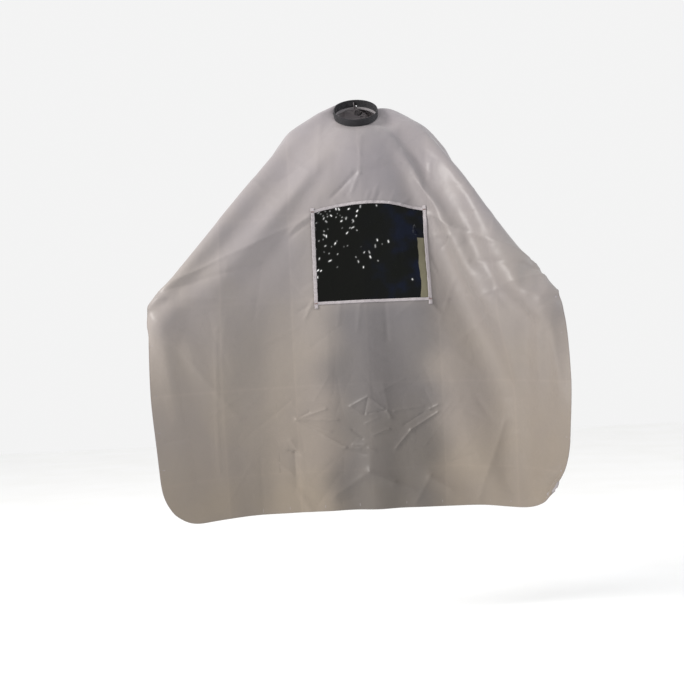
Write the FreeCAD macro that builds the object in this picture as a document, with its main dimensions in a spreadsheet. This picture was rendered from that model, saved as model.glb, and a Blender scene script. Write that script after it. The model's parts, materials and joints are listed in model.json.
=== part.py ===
import FreeCAD, Part
import math
import os
import Sketcher
from FreeCAD import Placement, Rotation, Vector

# Barber cape with a see-through window, held out by its wearer's hands.
# Millimetres. Origin: middle of the neck opening. +Z up, the front faces -Y, +X is to the right
# of someone who looks at the front.

# ---------------------------------------------------------------- driving dimensions

SIZES = {
    # neck band and its opening
    "neck_radius": (62.0, "outside radius of the neck band"),
    "neck_tilt": (38.0, "degrees that the neck opening leans forward"),
    "band_thick": (2.5, "thickness of the ribbed band"),
    "band_height": (22.0, "height of the ribbed band"),
    "band_gap": (10.0, "degrees of the ring left open at the nape"),
    "binding_height": (8.0, "height of the folded tape below the band"),
    # cloth
    "cloth_thick": (2.0, "thickness that the draped cloth is given"),
    "front_drop": (1098.0, "neck centre down to the front hem"),
    "back_drop": (200.0, "neck centre down to the back edge at the slit"),
    "corner_round": (170.0, "radius of the two lower corners"),
    "front_face": (120.0, "neck centre forward to the flat front"),
    "hem_forward": (150.0, "neck centre forward to the hem"),
    "back_face": (160.0, "neck centre back to the back flap"),
    "margin_left": (22.0, "flat cloth from the film to the left wing"),
    "margin_right": (13.0, "flat cloth from the film to the right wing"),
    "shoulder_drop": (35.0, "neck centre down to the shoulders"),
    "left_reach": (580.0, "neck centre out to the left held edge"),
    "left_hand_drop": (521.0, "neck centre down to the left held edge"),
    "left_hand_forward": (230.0, "neck centre forward to the left held edge"),
    "right_reach": (510.0, "neck centre out to the right held edge"),
    "right_hand_drop": (531.0, "neck centre down to the right held edge"),
    "right_hand_forward": (300.0, "neck centre forward to the right held edge"),
    "hand_fold": (8.0, "half depth of the cloth where a hand holds it"),
    "corner_flap": (210.0, "extra hang of the two back corners"),
    "slit_top": (10.0, "width of the back slit at the neck"),
    "slit_foot": (60.0, "width of the back slit at the back edge"),
    # window
    "window_left": (-134.0, "left edge of the film"),
    "window_foot": (-525.0, "bottom edge of the film"),
    "window_width": (311.0, "width of the film"),
    "window_height": (251.0, "height of the film at its sides"),
    "window_arch": (20.0, "rise of the film's top edge"),
    "film_thick": (0.6, "thickness of the clear film"),
    "film_lap": (8.0, "film that lies over the cloth"),
    "tape_width": (12.0, "width of the binding tape"),
    "tape_lap": (5.0, "binding tape that lies on the cloth"),
    "tape_thick": (1.6, "thickness of the binding tape"),
    "tape_tail": (8.0, "tape end left past each corner"),
    "tack_width": (9.0, "length of a bar tack"),
    "tack_height": (3.0, "height of a bar tack"),
    "tack_thick": (0.8, "thickness of a bar tack"),
    # press studs and the closing tongue
    "stud_count": (5.0, "studs along the band"),
    "socket_count": (2.0, "sockets on the tongue"),
    "stud_pitch": (18.5, "degrees from stud to stud round the band"),
    "stud_first": (104.0, "degrees to the first stud, counted from +X"),
    "socket_skip": (1.0, "studs that the tongue passes before its first socket"),
    "flange_radius": (5.0, "radius of stud flanges and sockets"),
    "flange_thick": (0.6, "thickness of a stud's flange"),
    "stud_radius": (1.7, "radius of a stud's head"),
    "stud_rise": (1.8, "height of a stud's head above its flange"),
    "shank_radius": (1.5, "radius of the shanks through band and tongue"),
    "socket_play": (1.1, "clearance round a stud in its socket"),
    "socket_lift": (0.3, "clearance from a stud's flange to a socket"),
    "socket_thick": (2.2, "thickness of a socket"),
    "cap_radius": (6.0, "radius of the caps"),
    "cap_thick": (1.2, "thickness of the caps"),
    "tongue_root": (80.0, "degrees to the tongue's sewn end"),
    "tongue_sweep": (72.0, "degrees that the tongue covers"),
    "tongue_thick": (2.0, "thickness of the tongue"),
    "tongue_height": (17.0, "height of the tongue"),
    "root_gap": (1.0, "free fold between the root tape and the tongue"),
    "root_length": (8.0, "degrees that the root tape covers"),
    # small clearances
    "seam_gap": (0.1, "clearance where cloth meets the neck ring"),
}

doc = FreeCAD.newDocument("barber_cape")
sheet = doc.addObject("Spreadsheet::Sheet", "dims")
for row, (alias, (value, meaning)) in enumerate(SIZES.items(), start=1):
    sheet.set("A%d" % row, meaning)
    sheet.set("B%d" % row, str(value))
    sheet.setAlias("B%d" % row, alias)
doc.recompute()


def size(alias):
    """The number that the sheet holds under this alias."""
    return float(sheet.get(alias))


# the wings start beside the window, so that the window always lies on flat cloth
WING_LEFT = size("margin_left") - size("window_left")
WING_RIGHT = size("window_left") + size("window_width") + size("margin_right")

parts = []


def keep(obj, name):
    """Give a finished sub-part its name and list it for writing."""
    obj.Label = name
    parts.append(obj)
    return obj


def body_on_plane(name, role):
    """A PartDesign body and its own origin plane with this role."""
    body = doc.addObject("PartDesign::Body", name + "_body")
    if hasattr(body, "AllowCompound"):
        body.AllowCompound = True
    plane = [p for p in body.Origin.OriginFeatures if p.Role == role][0]
    return body, plane


def sketch_on(body, plane, name):
    sketch = body.newObject("Sketcher::SketchObject", name)
    sketch.AttachmentSupport = [(plane, "")]
    sketch.MapMode = "FlatFace"
    return sketch


def bind(sketch, kind, geometry, expression, start=10.0):
    """Add one dimension to a sketch, with a starting value, and tie it to the sheet."""
    index = sketch.addConstraint(Sketcher.Constraint(kind, *geometry, start))
    sketch.setExpression("Constraints[%d]" % index, expression)


def rectangle(sketch, left, foot, width, height):
    """A rectangle whose corner and sides are expressions on the sheet."""
    corners = [Vector(1, 1, 0), Vector(11, 1, 0), Vector(11, 11, 0), Vector(1, 11, 0)]
    for n in range(4):
        sketch.addGeometry(Part.LineSegment(corners[n], corners[(n + 1) % 4]), False)
    for n in range(4):
        sketch.addConstraint(Sketcher.Constraint("Coincident", n, 2, (n + 1) % 4, 1))
    for n in (0, 2):
        sketch.addConstraint(Sketcher.Constraint("Horizontal", n))
    for n in (1, 3):
        sketch.addConstraint(Sketcher.Constraint("Vertical", n))
    bind(sketch, "DistanceX", (0, 1, 0, 2), width)
    bind(sketch, "DistanceY", (1, 1, 1, 2), height)
    bind(sketch, "DistanceX", (-1, 1, 0, 1), left)
    bind(sketch, "DistanceY", (-1, 1, 0, 1), foot)


def circle(sketch, radius, height):
    """A circle on the sketch's vertical axis at this height."""
    sketch.addGeometry(Part.Circle(Vector(0, 10, 0), Vector(0, 0, 1), 3), False)
    sketch.addConstraint(Sketcher.Constraint("PointOnObject", 0, 3, -2))
    bind(sketch, "Radius", (0,), radius)
    bind(sketch, "DistanceY", (-1, 1, 0, 3), height)


# ---------------------------------------------------------------- the cut of cloth

def mix(a, b, share):
    return a + (b - a) * share


def mix_points(first, second, share):
    return [(mix(p[0], q[0], share), mix(p[1], q[1], share)) for p, q in zip(first, second)]


def outline_at_neck(fall):
    """(y, z) points over the neck and shoulders, from hem to back edge. fall is 0 at the neck, 1
    at a shoulder."""
    reach = size("neck_radius") * math.cos(math.radians(size("neck_tilt")))
    rise = size("neck_radius") * math.sin(math.radians(size("neck_tilt")))
    face = -size("front_face")
    foot = size("window_foot") - 2 * size("tape_width")
    head = size("window_foot") + size("window_height") + size("window_arch") + size("tape_width")
    return [
        (-size("hem_forward"), -size("front_drop")),
        (face, foot),
        (face, head),
        (face * 0.94, head * 0.6),
        (-reach, mix(-rise, -rise - size("shoulder_drop") / 2, fall)),
        (reach, mix(rise, -size("shoulder_drop"), fall)),
        (size("back_face") * 0.86, -size("back_drop") * 0.45),
        (size("back_face"), -size("back_drop")),
    ]


def outline_at_hand(forward, drop):
    """(y, z) points where a hand holds the edge of the cloth."""
    fold = size("hand_fold")
    return [
        (-mix(size("hem_forward"), forward, 0.5), -size("front_drop")),
        (-forward - fold, -drop - 8 * fold),
        (-forward - fold, -drop - 2 * fold),
        (-forward - fold, -drop - fold),
        (-forward - fold / 2, -drop),
        (-forward + fold / 2, -drop),
        (-forward + fold, -drop - fold),
        (-forward + fold, -drop - 2 * fold),
    ]


def thin_section(x, outer):
    """A closed wire in the plane x: the cloth's outer line and its inner line, with both ends."""
    thick = size("cloth_thick")
    shifts = [(1, 0), (1, 0), (1, 0), (0.9, -0.4), (0.35, -0.9), (-0.35, -0.9), (-0.9, -0.4), (-1, 0)]
    inner = [(p[0] + s[0] * thick, p[1] + s[1] * thick) for p, s in zip(outer, shifts)]

    def run(points):
        p = [Vector(x, y, z) for y, z in points]
        over = (p[5] - p[4]).normalize()
        front = Part.BSplineCurve()
        front.interpolate(Points=p[2:5], InitialTangent=Vector(0, 0, 1), FinalTangent=over)
        back = Part.BSplineCurve()
        back.interpolate(Points=p[5:8], InitialTangent=over, FinalTangent=Vector(0, 0, -1))
        return [
            Part.makeLine(p[0], p[1]),
            Part.makeLine(p[1], p[2]),
            front.toShape(),
            Part.makeLine(p[4], p[5]),
            back.toShape(),
        ]

    outside, inside = run(outer), run(inner)
    back_end = Part.makeLine(outside[-1].Vertexes[-1].Point, inside[-1].Vertexes[-1].Point)
    hem_end = Part.makeLine(inside[0].Vertexes[0].Point, outside[0].Vertexes[0].Point)
    return Part.Wire(outside + [back_end] + list(reversed(inside)) + [hem_end])


def wing_sections(side, shoulder, reach, forward, drop):
    """Sections from a shoulder out to a hand. The back corner hangs lower near the shoulder."""
    start = outline_at_neck(1.0)
    end = outline_at_hand(forward, drop)
    sections = []
    for share in (0.0, 0.12, 0.3, 0.55, 0.8, 1.0):
        points = mix_points(start, end, share)
        hang = size("corner_flap") * (1 - share) * min(1.0, share / 0.12)
        points[6] = (points[6][0], points[6][1] - hang * 0.45)
        points[7] = (points[7][0], points[7][1] - hang)
        sections.append(thin_section(side * mix(shoulder, reach, share), points))
    return sections


def window_prism(grow, depth):
    """The window's outline, grown outwards by this much, as a prism through the flat front."""
    left = size("window_left") - grow
    foot = size("window_foot") - grow
    width = size("window_width") + 2 * grow
    half, arch = size("window_width") / 2, size("window_arch")
    radius = (half * half + arch * arch) / (2 * arch)
    top = size("window_foot") + size("window_height") + arch
    middle = size("window_left") + half
    start = -size("front_face") - depth / 2
    tall = Part.makeBox(width, depth, top + grow - foot, Vector(left, start, foot))
    arc = Part.makeCylinder(radius + grow, depth, Vector(middle, start, top - radius), Vector(0, 1, 0))
    return tall.common(arc)


def neck_prism(radius, length):
    """An upright cylinder that leans with the neck opening."""
    tilt = math.radians(size("neck_tilt"))
    along = Vector(0, -math.sin(tilt), math.cos(tilt))
    return Part.makeCylinder(radius, length, along * (-length / 2), along)


def make_shell():
    left = wing_sections(
        -1, WING_LEFT, size("left_reach"), size("left_hand_forward"), size("left_hand_drop")
    )
    right = wing_sections(
        1, WING_RIGHT, size("right_reach"), size("right_hand_forward"), size("right_hand_drop")
    )
    beside_neck = 1.2 * size("neck_radius")
    neck = [
        thin_section(-beside_neck, outline_at_neck(0.0)),
        thin_section(beside_neck, outline_at_neck(0.0)),
    ]
    cloth = Part.makeLoft(list(reversed(left)) + neck + right, True, True)

    # lower corners of the cut, seen from the front
    wide = size("left_reach") + size("right_reach")
    deep = 4 * (size("right_hand_forward") + size("back_face"))
    tall = size("front_drop") + 2 * size("neck_radius")
    block = Part.makeBox(wide, deep, tall, Vector(-size("left_reach"), -deep / 2, -size("front_drop")))
    foot = -size("front_drop")
    lower = [
        e
        for e in block.Edges
        if abs(e.Vertexes[0].Z - foot) < 1e-6
        and abs(e.Vertexes[1].Z - foot) < 1e-6
        and abs(e.Vertexes[0].X - e.Vertexes[1].X) < 1e-6
    ]
    cloth = cloth.common(block.makeFillet(size("corner_round"), lower))

    # neck opening, window cut-out and back slit
    cloth = cloth.cut(neck_prism(size("neck_radius") + size("seam_gap"), 3 * size("neck_radius")))
    cloth = cloth.cut(window_prism(-size("film_lap"), size("front_face")))
    top, foot = size("slit_top") / 2, size("slit_foot") / 2
    high, low = size("neck_radius"), -size("back_drop") - size("cloth_thick")
    corners = [(-top, high), (top, high), (foot, low), (-foot, low), (-top, high)]
    face = Part.Face(Part.makePolygon([Vector(x, 0, z) for x, z in corners]))
    cloth = cloth.cut(face.extrude(Vector(0, 2 * size("back_face"), 0)))
    return cloth.removeSplitter()


shell = doc.addObject("Part::Feature", "cape_shell_shape")
shell.Shape = make_shell().Solids[0]
keep(shell, "cape_shell")


# ---------------------------------------------------------------- window film and its tapes

ARCH_RADIUS = "((dims.window_width / 2) ^ 2 + dims.window_arch ^ 2) / (2 * dims.window_arch)"
MIDDLE = "dims.window_left + dims.window_width / 2"
TOP = "dims.window_foot + dims.window_height + dims.window_arch"
RIGHT = "dims.window_left + dims.window_width"


def block(name, x, y, z, long, deep, tall):
    box = doc.addObject("Part::Box", name)
    for prop, expression in (
        ("Placement.Base.x", x),
        ("Placement.Base.y", y),
        ("Placement.Base.z", z),
        ("Length", long),
        ("Width", deep),
        ("Height", tall),
    ):
        box.setExpression(prop, expression)
    return box


def pair(kind, name, base, tool):
    """A Part cut or common of two objects."""
    feature = doc.addObject(kind, name)
    feature.Base = base
    feature.Tool = tool
    return feature


TAPE_BACK = "-dims.front_face - dims.tape_thick"

half_width = size("window_width") / 2
ARCH_START = (half_width ** 2 + size("window_arch") ** 2) / (2 * size("window_arch"))
side_top = ARCH_START - size("window_arch")
side_foot = side_top - size("window_height")


def arch_arc(radius):
    """A starting arc for a sketch, about the centre that the window's arch has."""
    begin = math.acos(size("window_width") / 2 / radius)
    whole = Part.Circle(Vector(0, 0, 0), Vector(0, 0, 1), radius)
    return Part.ArcOfCircle(whole, begin, math.pi - begin)


def arched_body(name, radius, width):
    """A body whose sketch stands on the arch's centre, with one arc of this radius in it. The arc's
    two ends are width apart."""
    body, plane = body_on_plane(name, "XZ_Plane")
    body.setExpression("Placement.Base.x", MIDDLE)
    body.setExpression("Placement.Base.y", "-dims.front_face")
    body.setExpression("Placement.Base.z", "%s - %s" % (TOP, ARCH_RADIUS))
    sketch = sketch_on(body, plane, name + "_outline")
    sketch.addGeometry(arch_arc(ARCH_START), False)
    sketch.addConstraint(Sketcher.Constraint("Coincident", 0, 3, -1, 1))
    sketch.addConstraint(Sketcher.Constraint("Symmetric", 0, 2, 0, 1, -2))
    bind(sketch, "Radius", (0,), radius, ARCH_START)
    bind(sketch, "DistanceX", (0, 2, 0, 1), width, 2 * half_width)
    return body, sketch


def join_ends(sketch, ends):
    """Close an outline. ends are (geometry, point, geometry, point)."""
    for meeting in ends:
        sketch.addConstraint(Sketcher.Constraint("Coincident", *meeting))


def pad_back(body, sketch, thick):
    """Raise the outline from the cloth's front face towards the outside."""
    pad = body.newObject("PartDesign::Pad", body.Name + "_pad")
    pad.Profile = sketch
    pad.setExpression("Length", thick)
    sketch.Visibility = False
    return body


film_body, film_outline = arched_body("film", ARCH_RADIUS, "dims.window_width")
film_corners = [
    Vector(-half_width, side_top, 0),
    Vector(-half_width, side_foot, 0),
    Vector(half_width, side_foot, 0),
    Vector(half_width, side_top, 0),
]
for corner, following in zip(film_corners, film_corners[1:]):
    film_outline.addGeometry(Part.LineSegment(corner, following), False)
join_ends(film_outline, [(0, 2, 1, 1), (1, 2, 2, 1), (2, 2, 3, 1), (3, 2, 0, 1)])
film_outline.addConstraint(Sketcher.Constraint("Vertical", 1))
film_outline.addConstraint(Sketcher.Constraint("Horizontal", 2))
film_outline.addConstraint(Sketcher.Constraint("Vertical", 3))
bind(film_outline, "DistanceY", (1, 2, 1, 1), "dims.window_height", side_top - side_foot)
film = keep(pad_back(film_body, film_outline, "dims.film_thick"), "window_film")


def tape_over_film(name, strip):
    """A strip of binding tape with a rebate underneath for the edge of the film."""
    return keep(pair("Part::Cut", name + "_cut", strip, film), name)


def side_tape(name, x):
    strip = block(
        name + "_strip", x, TAPE_BACK, "dims.window_foot - dims.tape_lap - dims.tape_tail",
        "dims.tape_width", "dims.tape_thick",
        "dims.window_height + 2 * dims.tape_lap + 2 * dims.tape_tail",
    )
    return tape_over_film(name, strip)


side_tape("window_tape_left", "dims.window_left - dims.tape_lap")
side_tape("window_tape_right", "%s + dims.tape_lap - dims.tape_width" % RIGHT)

INNER_LEFT = "dims.window_left - dims.tape_lap + dims.tape_width"
INNER_WIDTH = "dims.window_width + 2 * dims.tape_lap - 2 * dims.tape_width"

foot_strip = block(
    "foot_strip", INNER_LEFT, TAPE_BACK, "dims.window_foot - dims.tape_lap",
    INNER_WIDTH, "dims.tape_thick", "dims.tape_width",
)
tape_over_film("window_tape_bottom", foot_strip)

arch_body, arch_outline = arched_body("arch", "%s + dims.tape_lap" % ARCH_RADIUS, INNER_WIDTH)
arch_outline.addGeometry(arch_arc(ARCH_START - size("tape_width")), False)
for side in (-1, 1):
    top, foot = Vector(side * half_width, side_top, 0), Vector(side * half_width, side_top - 12, 0)
    arch_outline.addGeometry(Part.LineSegment(top, foot), False)
join_ends(arch_outline, [(0, 2, 2, 1), (2, 2, 1, 2), (0, 1, 3, 1), (3, 2, 1, 1), (1, 3, -1, 1)])
arch_outline.addConstraint(Sketcher.Constraint("Vertical", 2))
arch_outline.addConstraint(Sketcher.Constraint("Vertical", 3))
bind(
    arch_outline, "Radius", (1,), "%s + dims.tape_lap - dims.tape_width" % ARCH_RADIUS,
    ARCH_START - size("tape_width"),
)
tape_over_film("window_tape_top", pad_back(arch_body, arch_outline, "dims.tape_thick"))

TACK_BACK = "-dims.front_face - dims.tape_thick - dims.tack_thick"
tacks = []
for corner, (x, z) in {
    "low_left": ("dims.window_left", "dims.window_foot"),
    "low_right": (RIGHT, "dims.window_foot"),
    "high_left": ("dims.window_left", "dims.window_foot + dims.window_height"),
    "high_right": (RIGHT, "dims.window_foot + dims.window_height"),
}.items():
    inward = "dims.tape_width / 2 - dims.tape_lap"
    centre = "%s %s (%s)" % (x, "+" if corner.endswith("left") else "-", inward)
    tacks.append(
        block(
            "tack_" + corner, "%s - dims.tack_width / 2" % centre, TACK_BACK,
            "%s - dims.tack_height / 2" % z, "dims.tack_width", "dims.tack_thick", "dims.tack_height",
        )
    )
tack_group = doc.addObject("Part::Compound", "tack_group")
tack_group.Links = tacks
keep(tack_group, "window_bar_tacks")


# ---------------------------------------------------------------- neck band and its press studs

def on_neck(start):
    """The placement of a piece that was drawn on a level ring: turned to its first angle, in
    degrees from +X, and leaned with the neck opening."""
    turn = Placement(Vector(0, 0, 0), Rotation(Vector(0, 0, 1), start))
    return Placement(Vector(0, 0, 0), Rotation(Vector(1, 0, 0), size("neck_tilt"))) * turn


def ring(name, inner, foot, thick, height, sweep, start):
    """A strip bent round the neck through sweep, an expression in degrees."""
    body, plane = body_on_plane(name, "XZ_Plane")
    sketch = sketch_on(body, plane, name + "_section")
    rectangle(sketch, inner, foot, thick, height)
    turned = body.newObject("PartDesign::Revolution", name + "_turned")
    turned.Profile = sketch
    turned.ReferenceAxis = (sketch, ["V_Axis"])
    turned.setExpression("Angle", sweep)
    sketch.Visibility = False
    body.Placement = on_neck(start)
    return body


def radial_row(name, count, first, layers):
    """Round pieces that stand out from the neck ring, stud_pitch apart. layers are (radius, start,
    length) expressions, counted outwards from the ring's axis."""
    body, plane = body_on_plane(name, "XZ_Plane")
    pads = []
    for number, (radius, start, length) in enumerate(layers):
        sketch = sketch_on(body, plane, "%s_circle_%d" % (name, number))
        circle(sketch, radius, "dims.band_height / 2")
        sketch.setExpression("AttachmentOffset.Base.z", start)
        pad = body.newObject("PartDesign::Pad", "%s_pad_%d" % (name, number))
        pad.Profile = sketch
        pad.setExpression("Length", length)
        sketch.Visibility = False
        pads.append(pad)
    doc.recompute()
    row = body.newObject("PartDesign::PolarPattern", name + "_row")
    row.Originals = pads
    row.Axis = ([a for a in body.Origin.OriginFeatures if a.Role == "Z_Axis"][0], [""])
    row.setExpression("Angle", "dims.stud_pitch * (%s - 1) * 1 deg" % count)
    row.setExpression("Occurrences", count)
    body.Tip = row
    # the pads are drawn along -Y, which lies at 270 degrees
    body.Placement = on_neck(first - 270)
    return body


BAND_INNER = "dims.neck_radius - dims.band_thick"
BAND_SWEEP = "360 deg - dims.band_gap * 1 deg"
BAND_START = 90 + size("band_gap") / 2
FIRST_STUD = size("stud_first")
SOCKET_BACK = "dims.neck_radius + dims.flange_thick + dims.socket_lift"
TONGUE_BACK = SOCKET_BACK + " + dims.socket_thick"
TONGUE_FACE = TONGUE_BACK + " + dims.tongue_thick"
TONGUE_FOOT = "(dims.band_height - dims.tongue_height) / 2"
FIRST_SOCKET = FIRST_STUD + size("socket_skip") * size("stud_pitch")

band_strip = ring(
    "band_strip", BAND_INNER, "0 mm", "dims.band_thick", "dims.band_height", BAND_SWEEP, BAND_START
)
band_shanks = radial_row(
    "band_shanks", "dims.stud_count", FIRST_STUD, [("dims.shank_radius", BAND_INNER, "dims.band_thick")]
)
keep(pair("Part::Cut", "band_pierced", band_strip, band_shanks), "neck_band")

binding = ring(
    "binding_strip", BAND_INNER, "-dims.binding_height", "dims.band_thick", "dims.binding_height",
    BAND_SWEEP, BAND_START,
)
keep(binding, "neck_seam_binding")

studs = radial_row(
    "stud_row", "dims.stud_count", FIRST_STUD,
    [
        ("dims.shank_radius", BAND_INNER, "dims.band_thick"),
        ("dims.flange_radius", "dims.neck_radius", "dims.flange_thick"),
        ("dims.stud_radius", "dims.neck_radius + dims.flange_thick", "dims.stud_rise"),
    ],
)
keep(studs, "band_snap_studs")

# a cap is a flat disc under a round strip, so its seat is cut to the strip's curve
flat_caps = radial_row(
    "flat_caps", "dims.stud_count", FIRST_STUD,
    [("dims.cap_radius", BAND_INNER + " - dims.cap_thick", "dims.cap_thick")],
)
cap_seat = ring("cap_seat", BAND_INNER, "0 mm", "dims.band_thick", "dims.band_height", "360 deg", 0)
keep(pair("Part::Cut", "caps_seated", flat_caps, cap_seat), "band_stud_caps")


# ---------------------------------------------------------------- closing tongue

tongue_strip = ring(
    "tongue_strip", TONGUE_BACK, TONGUE_FOOT, "dims.tongue_thick", "dims.tongue_height",
    "dims.tongue_sweep * 1 deg", size("tongue_root"),
)

# the tongue folds about this round end, on its sewn edge
tongue_end, end_plane = body_on_plane("tongue_end", "XY_Plane")
end_sketch = sketch_on(tongue_end, end_plane, "tongue_end_circle")
circle(end_sketch, "dims.tongue_thick / 2", TONGUE_BACK + " + dims.tongue_thick / 2")
end_sketch.setExpression("AttachmentOffset.Base.z", TONGUE_FOOT)
end_pad = tongue_end.newObject("PartDesign::Pad", "tongue_end_pad")
end_pad.Profile = end_sketch
end_pad.setExpression("Length", "dims.tongue_height")
end_sketch.Visibility = False
tongue_end.Placement = on_neck(size("tongue_root") - 90)

tongue_blank = pair("Part::Fuse", "tongue_blank", tongue_strip, tongue_end)
tongue_shanks = radial_row(
    "tongue_shanks", "dims.socket_count", FIRST_SOCKET,
    [("dims.shank_radius", TONGUE_BACK, "dims.tongue_thick")],
)
keep(pair("Part::Cut", "tongue_pierced", tongue_blank, tongue_shanks), "closure_tongue")

socket_blanks = radial_row(
    "socket_blanks", "dims.socket_count", FIRST_SOCKET,
    [("dims.flange_radius", SOCKET_BACK, "dims.socket_thick")],
)
socket_bores = radial_row(
    "socket_bores", "dims.socket_count", FIRST_SOCKET,
    [("dims.stud_radius + dims.socket_play", SOCKET_BACK, "dims.socket_thick")],
)
socket_seat = ring(
    "socket_seat", TONGUE_BACK, "0 mm", "dims.tongue_thick", "dims.band_height", "360 deg", 0
)
socket_rings = pair("Part::Cut", "socket_rings", socket_blanks, socket_bores)
keep(pair("Part::Cut", "sockets_seated", socket_rings, socket_seat), "tongue_snap_sockets")

tongue_caps = radial_row(
    "cap_row", "dims.socket_count", FIRST_SOCKET,
    [
        ("dims.shank_radius", TONGUE_BACK, "dims.tongue_thick"),
        ("dims.cap_radius", TONGUE_FACE, "dims.cap_thick"),
    ],
)
keep(tongue_caps, "tongue_snap_caps")

# the sewn end of the tongue, folded flat on the band beside the fold
fold_radius = size("neck_radius") + size("flange_thick") + size("socket_lift") + size("socket_thick")
fold_turn = math.degrees((size("tongue_thick") / 2 + size("root_gap")) / fold_radius)
root_tape = ring(
    "root_strip", "dims.neck_radius", TONGUE_FOOT, TONGUE_FACE + " - dims.neck_radius",
    "dims.tongue_height", "dims.root_length * 1 deg",
    size("tongue_root") - fold_turn - size("root_length"),
)
keep(root_tape, "tongue_root_tape")


# ---------------------------------------------------------------- check and write

doc.recompute()
for obj in doc.Objects:
    if "Invalid" in obj.State or "Error" in obj.State:
        raise RuntimeError("%s did not build: %s" % (obj.Label, obj.State))
os.makedirs("parts", exist_ok=True)
for part in parts:
    shape = part.Shape
    if shape.isNull() or not shape.isValid() or not shape.Solids:
        raise RuntimeError("%s is not a valid solid" % part.Label)
    shape.exportStep(os.path.join("parts", part.Label + ".step"))
    box = shape.BoundBox
    print(
        "%-22s %d solids, %9.1f mm3, x %.1f..%.1f y %.1f..%.1f z %.1f..%.1f"
        % (part.Label, len(shape.Solids), shape.Volume, box.XMin, box.XMax, box.YMin, box.YMax,
           box.ZMin, box.ZMax)
    )
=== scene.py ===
# %% [markdown]
# # Barber cape with a see-through window
#
# A barber cape is one flat cut of thin coated cloth with a hole for the neck and a slit from that
# hole to the back edge. This one has a film window on the chest, so that the wearer can see a
# phone. A ribbed band closes round the neck with press studs. Here the cape hangs from the neck, and
# the wearer's two hands hold its side edges out. The wearer isn't built.
#
# The cloth could be modelled as a tent with folds pushed in by hand. Folds made that way have the
# wrong length and look rubbery. So the flat cut is simulated once on a hidden body, and every sewn
# piece is then laid on the result by its place in the flat cut.

# %% The frame and its sizes
import json
import math

import bmesh
import bpy
import numpy as np
from mathutils import Matrix, Vector
from mathutils.bvhtree import BVHTree


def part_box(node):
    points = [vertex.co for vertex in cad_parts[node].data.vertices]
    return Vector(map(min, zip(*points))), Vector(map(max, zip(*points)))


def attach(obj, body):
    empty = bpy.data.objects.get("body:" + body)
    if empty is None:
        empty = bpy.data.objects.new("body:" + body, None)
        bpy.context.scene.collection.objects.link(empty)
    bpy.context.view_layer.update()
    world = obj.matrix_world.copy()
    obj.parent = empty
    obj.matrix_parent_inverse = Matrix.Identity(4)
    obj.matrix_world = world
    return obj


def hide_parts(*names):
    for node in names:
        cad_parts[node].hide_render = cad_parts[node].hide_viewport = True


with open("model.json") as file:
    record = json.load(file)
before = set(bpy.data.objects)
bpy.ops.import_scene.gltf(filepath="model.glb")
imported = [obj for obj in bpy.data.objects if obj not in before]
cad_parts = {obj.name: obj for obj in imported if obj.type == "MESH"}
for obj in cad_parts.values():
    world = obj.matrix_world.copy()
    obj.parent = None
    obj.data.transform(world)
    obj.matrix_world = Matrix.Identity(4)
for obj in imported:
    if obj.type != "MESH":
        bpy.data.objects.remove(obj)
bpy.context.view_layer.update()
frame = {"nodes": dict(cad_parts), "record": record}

band_low, band_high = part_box("neck_band")
film_low, film_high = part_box("window_film")
cloth_low, cloth_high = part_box("cape_shell")

NECK_RADIUS = (band_high.x - band_low.x) / 2
NECK_UP = Vector(frame["record"]["mounts"][0]["axis"]).normalized()
NECK_TILT = math.atan2(-NECK_UP.y, NECK_UP.z)
HEM_HEIGHT = cloth_low.z


def held_point(x, inward):
    """The top of the cloth's outermost edge, where a hand holds it, moved a little inward."""
    edge = [v.co for v in frame["nodes"]["cape_shell"].data.vertices if abs(v.co.x - x) < 0.001]
    top = max(edge, key=lambda co: co.z)
    return Vector((top.x + inward, top.y, top.z))


LEFT_INWARD = 0.008
RIGHT_INWARD = -0.020
HAND_LEFT = held_point(cloth_low.x, LEFT_INWARD)
HAND_RIGHT = held_point(cloth_high.x, RIGHT_INWARD)
print("neck radius", round(NECK_RADIUS, 4), "hands", HAND_LEFT, HAND_RIGHT)

# %% [markdown]
# ## The flat cut
#
# The cut is 1.2 m wide and 1.4 m long, with round corners at the front hem, the right one the
# rounder. It is a net of square cells. A square net keeps folds crisp, and each net point keeps its
# place in the flat cut, which is what the tapes, the film and the stitches are laid by later. The
# cells round the neck are warped from a square hole into a round one. The slit has two copies of its
# net points, so that its edges can part.

# %% Net of the flat cut
CUT_WIDTH = 1.20
NECK_TO_HEM = 1.122
NECK_TO_BACK = 0.265
LEFT_CORNER = 0.12
RIGHT_CORNER = 0.20
HELD_AT = 0.55
NET_CELL = 0.02
NECK_HOLE_CELLS = 3
WARP_REACH = 2.2

columns = int(round(CUT_WIDTH / NET_CELL))
rows = int(round((NECK_TO_HEM + NECK_TO_BACK) / NET_CELL))
across = np.linspace(-CUT_WIDTH / 2, CUT_WIDTH / 2, columns + 1)
along = np.linspace(-NECK_TO_BACK, NECK_TO_HEM, rows + 1)
mid_column = columns // 2
mid_row = int(np.argmin(abs(along)))
along = along - along[mid_row] * (1 - abs(along) / NECK_TO_HEM)


def ease(t):
    """A smooth step from 0 to 1."""
    t = min(1.0, max(0.0, t))
    return t * t * (3 - 2 * t)


def round_neck(i, j, u, v):
    """Move a net point near the neck so that the square hole becomes a round one."""
    a = (i - mid_column) / NECK_HOLE_CELLS
    b = (j - mid_row) / NECK_HOLE_CELLS
    ring = max(abs(a), abs(b))
    if ring == 0:
        return u, v
    share = ease((ring - 1) / WARP_REACH)
    reach = NECK_RADIUS * ring / math.hypot(a, b)
    return a * reach * (1 - share) + u * share, b * reach * (1 - share) + v * share


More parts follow.
